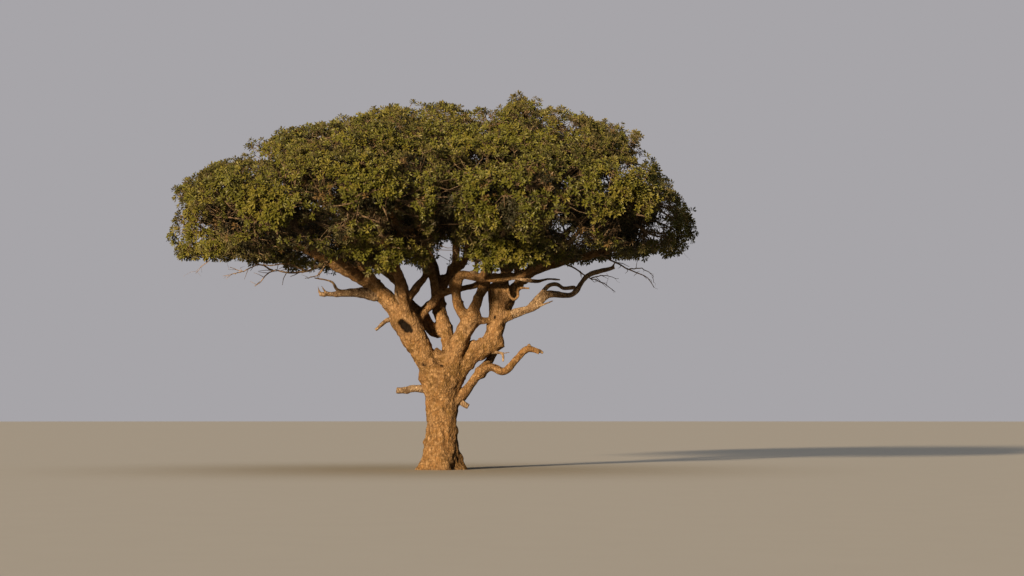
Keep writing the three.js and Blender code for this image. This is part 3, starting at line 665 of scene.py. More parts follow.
def scaly_bark_group():
    """Small uneven plates of bark with cracks between them, and a fine grain."""
    group, way_in, way_out = new_group(
        "scaly bark",
        {"Plates per metre": 11.0, "Length of plates": 1.6, "Unevenness": 0.08},
        ("Plates", "Grain", "Height"),
    )
    asked = way_in.outputs
    place = add_node(group, "ShaderNodeTexCoord").outputs["Object"]
    wander = add_node(group, "ShaderNodeTexNoise", {"Vector": place, "Scale": 4.0, "Detail": 3.0})
    shift = reckon_vector(group, "SCALE", {0: wander.outputs["Color"], 3: asked["Unevenness"]})
    moved = reckon_vector(group, "ADD", {0: place, 1: shift})
    squeeze = reckon(group, "DIVIDE", 1.0, asked["Length of plates"])
    shape = add_node(group, "ShaderNodeCombineXYZ", {"X": 1.0, "Y": 1.0, "Z": squeeze})
    stretched = reckon_vector(group, "MULTIPLY", {0: moved, 1: shape.outputs["Vector"]})
    cells = add_node(
        group, "ShaderNodeTexVoronoi", {"Vector": stretched, "Scale": asked["Plates per metre"]},
        feature="DISTANCE_TO_EDGE",
    )
    plates = ramp(group, cells.outputs["Distance"], {"From Max": 0.22}, "SMOOTHSTEP")
    grain = add_node(
        group, "ShaderNodeTexNoise",
        {"Vector": stretched, "Scale": 26.0, "Detail": 5.0, "Roughness": 0.65},
    ).outputs["Fac"]
    height = reckon(group, "MULTIPLY_ADD", plates, 0.6, grain)
    for label, value in (("Plates", plates), ("Grain", grain), ("Height", height)):
        group.links.new(value, way_out.inputs[label])
    return group


def blotches_group():
    """Soft-edged blotches, as of lichen, sun or dust."""
    group, way_in, way_out = new_group(
        "blotches", {"Blotches per metre": 1.5, "Cover": 0.5, "Edge": 0.1}, ("Blotch",),
    )
    asked = way_in.outputs
    place = add_node(group, "ShaderNodeTexCoord").outputs["Object"]
    cloud = add_node(
        group, "ShaderNodeTexNoise",
        {"Vector": place, "Scale": asked["Blotches per metre"], "Detail": 4.0, "Roughness": 0.6},
    )
    first = reckon(group, "SUBTRACT", asked["Cover"], asked["Edge"])
    last = reckon(group, "ADD", asked["Cover"], asked["Edge"])
    blotch = ramp(group, cloud.outputs["Fac"], {"From Min": first, "From Max": last}, "SMOOTHSTEP")
    group.links.new(blotch, way_out.inputs["Blotch"])
    return group


SCALY_BARK = scaly_bark_group()
BLOTCHES = blotches_group()


def place_group(tree, group, **values):
    """The outputs of a shader group placed in a material, with its own values for its inputs."""
    node = tree.nodes.new("ShaderNodeGroup")
    node.node_tree = group
    for label, value in values.items():
        node.inputs[label.replace("_", " ")].default_value = value
    return node.outputs


def blotches(tree, per_metre, cover, edge):
    """Blotches placed in a material."""
    return place_group(tree, BLOTCHES, Blotches_per_metre=per_metre, Cover=cover, Edge=edge)["Blotch"]


def mix_colours(tree, share, first, second):
    """A colour between two, by a share from 0 to 1."""
    node = add_node(tree, "ShaderNodeMix", data_type="RGBA")
    fill_sockets(tree, node, {0: share, 6: first, 7: second})
    return node.outputs[2]


def new_finish(name, roughness, specular):
    """A material with its node tree and its shader, which has a plain roughness."""
    finish = bpy.data.materials.new(name)
    finish.use_nodes = True
    shader = finish.node_tree.nodes["Principled BSDF"]
    shader.inputs["Roughness"].default_value = roughness
    shader.inputs["Specular IOR Level"].default_value = specular
    return finish, finish.node_tree, shader


def wood_finish(name, dark, middle, light, stain, bleached, flecks_per_metre, length_of_plates):
    """Bark or bare wood: dark and light flecks, stains, and painted shade in the hollows of its relief.
    """
    finish, tree, shader = new_finish(name, 0.9, 0.2)
    scales = place_group(
        tree, SCALY_BARK, Plates_per_metre=flecks_per_metre * 1.6, Length_of_plates=length_of_plates,
        Unevenness=0.12,
    )
    crests = blotches(tree, flecks_per_metre, 0.53, 0.07)
    colour = mix_colours(tree, blotches(tree, 1.3, 0.55, 0.12), middle, bleached)
    colour = mix_colours(tree, blotches(tree, 1.8, 0.55, 0.08), colour, stain)
    colour = mix_colours(tree, crests, colour, light)
    colour = mix_colours(tree, blotches(tree, flecks_per_metre * 1.7, 0.6, 0.06), colour, stain)
    whole = ramp(tree, scales["Plates"], {"To Min": 0.55, "To Max": 1.0})
    colour = mix_colours(tree, whole, dark, colour)
    # Painted shade: darker in the bark's crevices and scars, and nearly black in the deepest of them.
    hollow_shade = add_node(tree, "ShaderNodeAttribute", attribute_name="hollow_shade").outputs["Fac"]
    colour = mix_colours(tree, hollow_shade, colour, dark)
    deepest = ramp(tree, hollow_shade, {"From Min": 0.7, "From Max": 1.0})
    colour = mix_colours(tree, deepest, colour, DEEP_HOLLOW_SHADE)
    tree.links.new(colour, shader.inputs["Base Color"])
    rise = reckon(tree, "MULTIPLY_ADD", crests, 0.7, scales["Height"])
    bump = add_node(tree, "ShaderNodeBump", {"Height": rise, "Strength": 0.8, "Distance": 0.03})
    tree.links.new(bump.outputs["Normal"], shader.inputs["Normal"])
    return finish


def leaf_finish(name, upper, under):
    """A leathery leaf, duller and paler underneath."""
    finish, tree, shader = new_finish(name, 0.5, 0.35)
    deeper = tuple(part * 0.72 for part in upper[:3]) + (1,)
    face = mix_colours(tree, blotches(tree, 7.0, 0.5, 0.25), upper, deeper)
    side = add_node(tree, "ShaderNodeNewGeometry").outputs["Backfacing"]
    tree.links.new(mix_colours(tree, side, face, under), shader.inputs["Base Color"])
    return finish


# The colour of the painted shade in the deepest hollows of the bark.
DEEP_HOLLOW_SHADE = (0.012, 0.008, 0.005, 1)

# Each wood's colours: dark, middle, light, stained and bleached. Then its flecks per metre, and how
# long its plates are for their width.
bark = wood_finish(
    "bark", (0.10, 0.054, 0.024, 1), (0.34, 0.187, 0.074, 1), (0.48, 0.30, 0.15, 1),
    (0.22, 0.13, 0.045, 1), (0.42, 0.27, 0.15, 1), 7.5, 1.5,
)
dead_wood = wood_finish(
    "dead wood", (0.10, 0.06, 0.035, 1), (0.36, 0.235, 0.135, 1), (0.60, 0.44, 0.28, 1),
    (0.22, 0.15, 0.09, 1), (0.48, 0.35, 0.23, 1), 9.0, 3.0,
)
twig_bark = wood_finish(
    "twig bark", (0.10, 0.065, 0.04, 1), (0.24, 0.165, 0.105, 1), (0.42, 0.31, 0.2, 1),
    (0.15, 0.11, 0.06, 1), (0.34, 0.25, 0.17, 1), 14.0, 2.0,
)

# Leaf tints: the share of the whorls that each takes, and its upper and under face. The first is painted
# shade for whorls deep in the crown and in its hollows; the others are the leaves' own tones, old to
# young.
LEAF_TINTS = {
    "painted_shade_leaves": (0.31, (0.034, 0.034, 0.014, 1), (0.04, 0.034, 0.018, 1)),
    "brown_leaves": (0.08, (0.15, 0.095, 0.035, 1), (0.16, 0.11, 0.055, 1)),
    "olive_leaves": (0.25, (0.112, 0.117, 0.017, 1), (0.12, 0.11, 0.05, 1)),
    "bright_leaves": (0.23, (0.15, 0.152, 0.021, 1), (0.155, 0.14, 0.057, 1)),
    "golden_leaves": (0.13, (0.2, 0.182, 0.03, 1), (0.185, 0.16, 0.07, 1)),
}


# The skin of bark over the trunk and boughs.

def unrolled(limb, points):
    """Where points lie beside a limb: how far along, the way out, the angle round it, and its radius."""
    path, radii = limb.even(0.03)
    squares = (points**2).sum(1)[:, None] + (path**2).sum(1)[None] - 2 * points @ path.T
    nearest = np.argmin(squares, axis=1)
    headings = unit(np.gradient(path, axis=0))
    middle, heading = path[nearest], headings[nearest]
    gap = points - middle
    ahead = (gap * heading).sum(1)
    past_end = ((nearest == 0) & (ahead < 0)) | ((nearest == len(path) - 1) & (ahead > 0))
    ahead = np.where(past_end, 0, ahead)
    offset = gap - heading * ahead[:, None]
    step = limb.length / (len(path) - 1)
    along = nearest * step + ahead
    steady = np.eye(3)[np.argmin(np.abs(path[-1] - path[0]))]
    across = unit(np.cross(heading, steady))
    over = np.cross(heading, across)
    angle = np.arctan2((offset * over).sum(1), (offset * across).sum(1))
    radius = np.interp(along, np.arange(len(path)) * step, radii)
    return along, offset, angle, radius


def uneven(angle, along, name):
    """The uneven girth of an old limb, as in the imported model."""
    phase = along / 0.7 + len(name)
    return 1 + 0.06 * np.sin(3 * angle + phase) + 0.05 * np.sin(2 * angle - 2.3 * phase)


def beside_trunk(points):
    """How far points are from the trunk's skin, the way out, their height, the angle, and the girth."""
    height = np.clip(points[:, 2], 0, TRUNK_GIRTH[-1, 0])
    offset = points - np.stack([height * TRUNK_LEAN, height * 0, height], axis=1)
    offset[:, 2] = np.maximum(offset[:, 2], 0)
    angle = np.arctan2(offset[:, 1], offset[:, 0])
    wide = np.interp(height, TRUNK_GIRTH[:, 0], TRUNK_GIRTH[:, 1])
    deep = np.interp(height, TRUNK_GIRTH[:, 0], TRUNK_GIRTH[:, 2])
    girth = 1 / np.hypot(np.cos(angle) / wide, np.sin(angle) / deep)
    ridged = ROOT_RIDGE_DEPTH * np.maximum(0, 1 - height / ROOT_FLARE_HEIGHT)
    girth *= 1 + ridged * np.cos(ROOT_RIDGES * angle + 0.6) + 0.03 * np.sin(3 * angle + height * 2)
    distance = np.linalg.norm(offset, axis=1) - girth
    return distance, unit(offset), height, angle, girth


# The sizes of the bark's lumps, folds, cracks and plates: where there are three, twice across the limb
# and once along it.
BROAD_LUMPS = 0.36
SMALL_LUMPS = 0.16
FOLDS = (0.2, 0.2, 0.6)
SEAMS = (0.11, 0.11, 0.2)
PLATES = (0.08, 0.08, 0.11)
FOOT_REACH = 1.5  # how far out the flat cut under the trunk may lie
RIM_SHIFT = 0.2  # corners of the flat cut that the skin would move further stay where they are
NEAR_LIMB = 0.45  # how far past its greatest radius a limb still shapes the skin
SKIN_REACH = 0.6  # past this, a limb's pull on the skin no longer changes


def bark_relief(along, angle, radius, seed, coarse):
    """How far the bark stands out, and how deep in a crevice each place is, from 0 to 1, as its painted
    shade.
    """
    place = np.stack([np.cos(angle) * radius, np.sin(angle) * radius, along], axis=1)
    lumps = lattice_noise(place / BROAD_LUMPS, seed) * 0.6
    lumps += lattice_noise(place / SMALL_LUMPS, seed + 1) * 0.4
    folds = np.abs(lattice_noise(place / FOLDS, seed + 2))
    seams = np.abs(lattice_noise(place / SEAMS, seed + 3))
    plates = lattice_noise(place / PLATES, seed + 4)
    size = (0.6 * np.minimum(radius, 0.5) + 0.07) * coarse
    height = size * (0.2 * lumps + 0.12 * (folds - 0.3) + 0.1 * (seams - 0.3) + 0.05 * plates)
    hollow_shade = np.clip(1 - folds / 0.14, 0, 1) * 0.4 + np.clip(1 - seams / 0.18, 0, 1) * 0.4
    hollow_shade += np.clip(-plates - 0.25, 0, 1) * 0.9
    return height, hollow_shade


def settle_skin(points, members, blend, coarse):
    """Moves points onto one smooth skin over limbs that run into each other, with the bark's relief."""
    hollow_shade = np.zeros(len(points))
    for last in (False, False, True):
        weight = np.zeros(len(points))
        out = np.zeros_like(points)
        height = np.zeros(len(points))
        hollow_shade[:] = 0
        for seed, (name, limb) in enumerate(members.items()):
            margin = limb.radii.max() + NEAR_LIMB
            low, high = limb.path.min(0) - margin, limb.path.max(0) + margin
            near = np.flatnonzero(((points > low) & (points < high)).all(1))
            if not len(near):
                continue
            if name == "trunk":
                distance, away, along, angle, radius = beside_trunk(points[near])
            else:
                along, offset, angle, radius = unrolled(limb, points[near])
                distance = np.linalg.norm(offset, axis=1) - radius * uneven(angle, along, name)
                away = unit(offset)
            pull = np.exp(-np.clip(distance, -SKIN_REACH, SKIN_REACH) / blend)
            weight[near] += pull
            out[near] += away * pull[:, None]
            if last:
                rise, dent = bark_relief(along, angle, radius, seed * 10, coarse)
                height[near] += rise * pull
                hollow_shade[near] += dent * pull
        weight = np.maximum(weight, 1e-12)
        distance = -blend * np.log(weight)
        height /= weight
        hollow_shade /= weight
        points = points + unit(out) * (height - distance)[:, None]
    return points, hollow_shade


def remeshed(corners, faces, voxel):
    """One closed surface round overlapping closed solids."""
    mesh = new_mesh("rough", corners, faces, True)
    rough = new_object("rough", mesh)
    modifier = rough.modifiers.new("one skin", "REMESH")
    modifier.mode = "VOXEL"
    modifier.voxel_size = voxel
    shaped = bpy.data.meshes.new_from_object(rough.evaluated_get(bpy.context.evaluated_depsgraph_get()))
    bpy.data.objects.remove(rough)
    bpy.data.meshes.remove(mesh)
    return shaped


def skin_over(name, members, voxel, sides, blend, coarse, scars=()):
    """A mesh of one skin over limbs, with the depth of its hollows kept as an attribute for painted
    shade.
    """
    parts = []
    for limb_name, limb in members.items():
        path, radii = limb.even(0.06)
        if limb_name == "trunk":
            radii = np.interp(path[:, 2], TRUNK_GIRTH[:, 0], TRUNK_GIRTH[:, 1:].min(axis=1))
        parts.append(tubes(path[None], radii[None], sides))
    mesh = remeshed(*joined(parts), voxel)
    points = np.empty(len(mesh.vertices) * 3)
    mesh.vertices.foreach_get("co", points)
    points = points.reshape(-1, 3)
    settled, hollow_shade = settle_skin(points, members, blend, coarse)
    for centre, radius, depth in scars:
        distance = np.linalg.norm(settled - np.array(centre), axis=1)
        near = np.clip(1.7 * np.exp(-((distance / radius) ** 2) * 2) - 0.35, 0, 1)
        settled[:, 1] += depth * near
        # The scars get painted shade, darkest at their middles.
        hollow_shade = np.maximum(hollow_shade, np.minimum(near * 2.5, 1))
    sole = (points[:, 2] < voxel) & (np.hypot(points[:, 0], points[:, 1]) < FOOT_REACH)
    inner = sole & (np.linalg.norm(points - settled, axis=1) >= RIM_SHIFT)
    settled[inner] = points[inner]
    settled[sole, 2] = 0
    settled[:, 2] = np.maximum(settled[:, 2], 0)
    mesh.vertices.foreach_set("co", settled.astype(np.float32).ravel())
    depth = mesh.attributes.new("hollow_shade", "FLOAT", "POINT")
    depth.data.foreach_set("value", hollow_shade.astype(np.float32))
    mesh.polygons.foreach_set("use_smooth", np.full(len(mesh.polygons), True))
    mesh.update()
    mesh.name = name
    return mesh


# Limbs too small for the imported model: what carries each and the share along it, the radius at the
# start and the tip, and its bends.
SMALL_LIMBS = {
    "cross_limb": ("centre_bough", 0.95, (0.1, 0.08), [(1.3, -0.22, 4.78), (1.8, -0.05, 4.8)]),
    "curled_limb": (
        "right_limb", 0.06, (0.07, 0.025),
        [
            (2.15, -0.2, 5.92), (2.2, -0.3, 5.62), (2.35, -0.35, 5.46), (2.48, -0.35, 5.56),
            (2.5, -0.35, 5.8), (2.86, -0.35, 5.82),
        ],
    ),
    "left_twin_limb": (
        "left_bough", 0.93, (0.17, 0.075),
        [(-1.2, 0.2, 5.35), (-1.3, 0.45, 5.95), (-2.1, 0.8, 6.6), (-2.9, 1.0, 7.3)],
    ),
    "left_inner_limb": (
        "left_limb", 0.3, (0.13, 0.06),
        [(-2.3, -0.4, 6.35), (-2.6, -0.8, 6.8), (-3.0, -1.2, 7.5)],
    ),
    "left_fork_limb": (
        "left_bough", 0.96, (0.13, 0.075),
        [(-1.04, 0.1, 5.42), (-0.76, 0.2, 5.9), (-0.5, 0.3, 6.28), (-0.62, 0.3, 6.9)],
    ),
    "under_crossing_limb": (
        "top_left_limb", 0.3, (0.12, 0.07),
        [(0.3, 0.2, 5.75), (0.72, 0.0, 5.84), (1.15, 0.1, 5.95), (1.7, 0.3, 6.5)],
    ),
    "middle_fork_limb": (
        "middle_limb", 0.4, (0.11, 0.07),
        [(0.75, 0.9, 6.75), (0.85, 0.8, 7.2), (0.8, 0.6, 7.9)],
    ),
    "elbow_burr": ("right_bough", 0.46, (0.26, 0.2), [(1.78, -0.03, 4.15), (1.85, -0.06, 3.9)]),
    "right_fork_limb": (
        "right_bough", 0.8, (0.12, 0.06),
        [(2.2, 0.5, 5.6), (2.75, 0.9, 6.3), (3.2, 1.2, 7.2)],
    ),
}
SMALL_DEAD_LIMBS = {
    "pale_spike": ("long_right_limb", 0.2, (0.1, 0.035), [(1.12, -0.8, 6.35), (1.14, -0.82, 6.7)]),
    "pale_rod": (
        "front_left_limb", 0.1, (0.045, 0.022),
        [(-1.42, -0.55, 5.6), (-1.44, -0.6, 6.2), (-1.62, -0.62, 6.34), (-2.05, -0.62, 6.36)],
    ),
    "low_pale_limb": (
        "long_right_limb", 0.6, (0.08, 0.03),
        [(3.05, -1.2, 5.99), (3.4, -1.2, 6.06), (3.8, -1.1, 6.05)],
    ),
    "upper_snag": (
        "right_snag", 0.24, (0.075, 0.055),
        [
            (3.2, -0.25, 5.62), (3.5, -0.3, 5.92), (3.75, -0.33, 5.95), (3.95, -0.36, 5.83),
            (4.3, -0.38, 5.85),
        ],
    ),
    "snag_spur": ("right_snag", 0.3, (0.05, 0.015), [(3.3, -0.35, 5.3), (3.62, -0.4, 5.42)]),
    "snag_hook": ("right_snag", 0.9, (0.05, 0.02), [(5.5, -0.4, 6.5), (5.62, -0.42, 6.66)]),
    "left_snag_branch": (
        "left_snag", 0.4, (0.06, 0.02),
        [(-3.3, -0.35, 5.76), (-3.48, -0.38, 6.0), (-4.05, -0.42, 6.14)],
    ),
    "left_snag_spur": ("left_snag", 0.72, (0.04, 0.015), [(-3.66, -0.4, 5.68), (-3.82, -0.4, 5.88)]),
    "stub_knob": ("low_left_stub", 0.8, (0.095, 0.085), [(-1.3, -0.04, 2.55), (-1.4, -0.06, 2.56)]),
    "stub_heel": ("low_left_stub", 0.25, (0.13, 0.1), [(-0.72, -0.04, 2.6), (-0.95, -0.04, 2.6)]),
    "left_snag_heel": ("left_snag", 0.16, (0.17, 0.08), [(-2.7, -0.26, 5.7), (-3.3, -0.32, 5.64)]),
    "left_snag_spike": ("left_snag", 0.93, (0.05, 0.012), [(-3.86, -0.4, 5.66), (-3.93, -0.4, 5.86)]),
    "low_limb_knob": ("low_right_limb", 0.9, (0.075, 0.04), [(2.86, -0.2, 3.95), (2.83, -0.2, 4.03)]),
    "low_limb_tip": ("low_right_limb", 0.98, (0.07, 0.04), [(3.2, -0.22, 3.8), (3.3, -0.22, 3.74)]),
    "elbow_spur": ("right_bough", 0.42, (0.05, 0.02), [(1.98, -0.15, 3.72), (2.02, -0.17, 3.46)]),
    "elbow_twig": ("right_bough", 0.42, (0.035, 0.012), [(2.05, -0.15, 3.74), (2.24, -0.17, 3.77)]),
}

# Old hollows in the front of the bark, dented in and given painted shade: the middle, the radius and the
# depth of each.
SCARS = [
    ((-1.25, -0.48, 4.7), 0.17, 0.09),
    ((-1.17, -0.48, 4.61), 0.21, 0.09),
    ((-1.07, -0.48, 4.52), 0.22, 0.09),
    ((-0.98, -0.48, 4.44), 0.16, 0.08),
    ((-0.55, -0.3, 4.95), 0.12, 0.12),
    ((-0.2, -0.55, 2.45), 0.08, 0.08),
    ((0.05, -0.5, 3.35), 0.1, 0.07),
    ((1.72, -0.3, 4.9), 0.12, 0.08),
]

# Fine dead branches that hang below the crown: the radius at the start, and the bends to the tip.
DEAD_BRANCHES = [
    (
        0.045,
        [(-3.5, -0.2, 6.75), (-4.3, -0.35, 6.36), (-4.85, -0.35, 6.3), (-5.37, -0.4, 6.36),
         (-5.94, -0.4, 5.88)],
    ),
    (0.03, [(-5.37, -0.4, 6.36), (-5.83, -0.35, 6.57), (-6.32, -0.3, 6.36), (-6.74, -0.3, 6.46)]),
    (0.018, [(-6.32, -0.3, 6.36), (-6.98, -0.35, 6.17)]),
    (0.03, [(-4.3, -0.35, 6.36), (-4.9, -0.7, 6.55), (-5.6, -0.9, 6.5), (-6.2, -0.9, 6.62)]),
    (0.02, [(-6.5, -0.4, 7.6), (-7.3, -0.5, 6.8), (-7.85, -0.5, 6.26)]),
    (0.03, [(-3.7, -0.3, 6.62), (-3.9, -0.4, 6.25), (-4.35, -0.45, 6.1)]),
    (0.035, [(5.1, 0.1, 6.98), (5.66, 0, 6.69), (6.11, 0, 6.45), (6.67, 0, 6.2), (6.92, 0, 5.89)]),
    (0.02, [(6.11, 0, 6.45), (6.53, 0, 6.49), (6.85, 0, 6.26), (6.89, 0, 6.0)]),
    (0.02, [(6.2, 0, 7.7), (7.05, -0.2, 7.23), (7.85, -0.2, 7.04)]),
    (0.03, [(4, 0.2, 6.72), (4.85, 0, 6.17), (5.3, 0, 6.0), (5.66, 0, 5.72)]),
    (0.02, [(4.85, 0, 6.17), (5.3, -0.1, 6.25), (5.75, -0.1, 6.15)]),
]
DEAD_TWIG_SPACING = 0.2
DEAD_TWIG_TAPER = np.array((0.55, 0.4, 0.22))  # shares of the branch's radius, from foot to tip
KNOT_SPACING = 0.75
COLLAR_SWELL = 1.18  # how much thicker a ring of living bark is than the dead limb in it


def knots_on(known):
    """Knots on the thicker limbs, where small branches once grew."""
    random = np.random.default_rng(11)
    knots = {}
    for name, limb in known.items():
        for number in range(round(limb.length / KNOT_SPACING)):
            share = random.uniform(0.12, 0.97)
            place = limb.at(share)[0]
            thick = limb.radius(share)[0]
            ahead = unit(limb.at(min(1, share + 0.05))[0] - limb.at(share - 0.05)[0])
            around = unit(np.cross(ahead, random.normal(0, 1, 3)))
            way = unit(around + ahead * random.uniform(0, 0.6))
            height = thick * random.uniform(1.0, 1.25) + random.uniform(0.01, 0.06)
            width = thick * random.uniform(0.25, 0.45)
            path = place + way * np.linspace(0.3 * thick, height, 5)[:, None]
            knots[f"{name}_knot_{number}"] = Limb(path, tapering(width, width * 0.5))
    return knots


def dead_twigs():
    """Tubes of the fine dead branches, each with side twigs by a seeded rule."""
    random = np.random.default_rng(8)
    wood = []
    for thick, bends in DEAD_BRANCHES:
        branch = Limb(smooth_path(bends), tapering(thick, thick * 0.3))
        shares = np.linspace(0, 1, 14)
        path = branch.at(shares) + random.normal(0, 0.012, (14, 3))
        wood.append(tubes(path[None], branch.radius(shares)[None], 5))
        for share in np.arange(0.2, 1, DEAD_TWIG_SPACING / branch.length):
            place = branch.at(share)[0]
            ahead = unit(branch.at(share)[0] - branch.at(share - 0.1)[0])
            way = unit(ahead + random.normal(0, 0.6, 3) - (0, 0, 0.15))
            length = random.uniform(0.15, 0.55)
            turn = unit(way + random.normal(0, 0.5, 3))
            elbow = place + way * length * 0.5
            ends = np.array([place, elbow, elbow + turn * length * 0.5])
            sizes = branch.radius(share)[0] * DEAD_TWIG_TAPER
            wood.append(tubes(ends[None], sizes[None], 4))
    return wood


small = grow_limbs(SMALL_LIMBS, limbs)
small_dead = grow_limbs(SMALL_DEAD_LIMBS, limbs)
living = {name: limb for name, limb in limbs.items() if name not in DEAD_LIMBS}
dead = {name: limbs[name] for name in DEAD_LIMBS}


def collar_of(limb, reach):
    """The ring of living bark that swells round the foot of a dead limb."""
    shares = np.linspace(0, min(1, reach / limb.length), 12)
    thick = limb.radius(shares) * COLLAR_SWELL
    return Limb(limb.at(shares), lambda ignored, length: thick)


COLLAR_REACH = {
    "left_snag": 0.42, "right_snag": 0.5, "left_stub": 0.5, "low_left_stub": 0.62, "torn_stub": 0.6,
}
collars = {f"{name}_collar": collar_of(limbs[name], reach) for name, reach in COLLAR_REACH.items()}
knots = knots_on({**living, **small})

wood_mesh = skin_over(
    "bark_skin", {**living, **small, **collars, **knots}, voxel=0.038, sides=20, blend=0.04, coarse=1.0,
    scars=SCARS,
)
new_piece("bark_skin", wood_mesh, bark, living)

dead_mesh = skin_over(
    "dead_limbs", {**dead, **small_dead}, voxel=0.022, sides=14, blend=0.02, coarse=0.9,
)
new_piece("dead_limbs", dead_mesh, dead_wood, dead)

dead_twig_mesh = new_mesh("dead_twigs", *joined(dead_twigs()), True)
new_piece("dead_twigs", dead_twig_mesh, dead_wood, dead)


# The crown.

def whorl(random):
    """The corners and faces of one whorl of leaves round a shoot's tip, which points up."""
    corners, faces = [], []
    up = np.array((0, 0, 1.0))
    for number in range(LEAVES_PER_WHORL):
        inward = number / LEAVES_PER_WHORL
        turn = number * GOLDEN_ANGLE + random.uniform(-0.3, 0.3)
        rise = math.radians(5 + 60 * inward + random.uniform(-12, 12))
        flat = np.array((math.cos(turn), math.sin(turn), 0))
        heading = flat * math.cos(rise) + up * math.sin(rise)
        normal = up * math.cos(rise) - flat * math.sin(rise)
        side = np.cross(heading, normal)
        normal = unit(normal + side * random.uniform(-0.4, 0.4))
        side = np.cross(heading, normal)
        length = LEAF_LENGTH * random.uniform(0.8, 1.1) * (1 - 0.2 * inward)
        width = LEAF_WIDTH * random.uniform(0.85, 1.1)
        root = flat * 0.01 - up * 0.05 * (1 - inward)
        lift = normal * width * 0.18
        start = len(corners)
        corners += [
            root,
            root + heading * length * LEAF_BROADEST + side * width * 0.5 + lift,
            root + heading * length - normal * length * random.uniform(0.02, 0.16),
            root + heading * length * LEAF_BROADEST - side * width * 0.5 + lift,
        ]
        faces += [(start, start + 1, start + 2), (start, start + 2, start + 3)]
    return np.array(corners), np.array(faces)


def frames_about(axes, spins):
    """A turned frame for each axis, whose third direction is that axis."""
    steady = np.where(np.abs(axes[:, 2:]) < 0.9, (0.0, 0, 1), (1.0, 0, 0))
    across = unit(np.cross(steady, axes))
    over = np.cross(axes, across)
    cos, sin = np.cos(spins)[:, None], np.sin(spins)[:, None]
    return np.stack([across * cos + over * sin, over * cos - across * sin, axes], axis=2)


def clear_of_wood(points, gap):
    """Which points stand at least a gap away from the skin of every limb."""
    clear = np.full(len(points), True)
    for limb in [*limbs.values(), *small.values()]:
        path, radii = limb.even(0.15)
        distance = np.linalg.norm(points[:, None] - path[None], axis=2) - radii[None]
        clear &= distance.min(1) > gap
    return clear


def front_view(points):
    """Where the front view shows points, across and up at the trunk."""
    scale = PICTURE_PLANE / (PICTURE_PLANE + points[:, 1])
    return points[:, 0] * scale, CAMERA_PLACE[2] + (points[:, 2] - CAMERA_PLACE[2]) * scale


def within(ovals, across, up, margin):
    """Which places lie in one of the ovals or within a margin of it."""
    inside = np.full(len(across), False)
    for middle, height, half_width, half_height in ovals:
        inside |= np.hypot(
            (across - middle) / (half_width + margin), (up - height) / (half_height + margin)
        ) < 1
    return inside


def shows_sky(points, margin):
    """Which points the front view would show past the crown's outline or in one of its gaps."""
    across, up = front_view(points)
    outline = np.array(CROWN_OUTLINE) - OUTLINE_MIDDLE
    turns = np.arctan2(outline[:, 1], outline[:, 0])
    order = np.argsort(turns)
    turn = np.arctan2(up - OUTLINE_MIDDLE[1], across - OUTLINE_MIDDLE[0])
    furthest = np.interp(turn, turns[order], np.hypot(*outline.T)[order], period=2 * math.pi)
    beyond = np.hypot(across - OUTLINE_MIDDLE[0], up - OUTLINE_MIDDLE[1]) > furthest - margin
    return beyond | within(SKY_GAPS, across, up, margin)


def ragged(points, margin):
    """The margin varied from spray to spray, and widened here and there along the crown's underside."""
    lifted = np.clip(lattice_noise(points / 1.1, 78), 0, 1) * 0.7 * (points[:, 2] < UNDERSIDE)
    return margin + RAGGED * lattice_noise(points / 0.4, 77) + lifted


def hides_limb(points):
    """Which points would stand in front of a limb that the front view shows bare."""
    return within(BARE_PLACES, *front_view(points), 0) & (points[:, 1] < 0)


def shades_limb(points):
    """Which points would keep the low sun from a place on a limb that it lights."""
    to_sun = unit(-np.array(KEY_TRAVEL))
    shading = np.full(len(points), False)
    for place in SUNLIT_PLACES:
        offset = points - place
        ahead = offset @ to_sun
        aside = np.linalg.norm(offset - ahead[:, None] * to_sun, axis=1)
        shading |= (ahead > 0) & (aside < SHAFT_RADIUS)
    return shading


def bent_paths(starts, ends, bends, steps):
    """Curved paths between starts and ends, each drawn towards a bend."""
    t = np.linspace(0, 1, steps)[None, :, None]
    return on_curve(starts[:, None], bends[:, None], ends[:, None], t)


def between(first, last, steps):
    """Radii that taper evenly from first to last."""
    t = np.linspace(0, 1, steps)[None]
    return np.asarray(first)[:, None] * (1 - t) + np.asarray(last)[:, None] * t


def buried(mass, points):
    """Which points lie well inside another mass."""
    inside = np.full(len(points), False)
    for other in masses:
        if other is not mass:
            inside |= other.share_of_outline(points - other.centre) < 0.94
    return inside


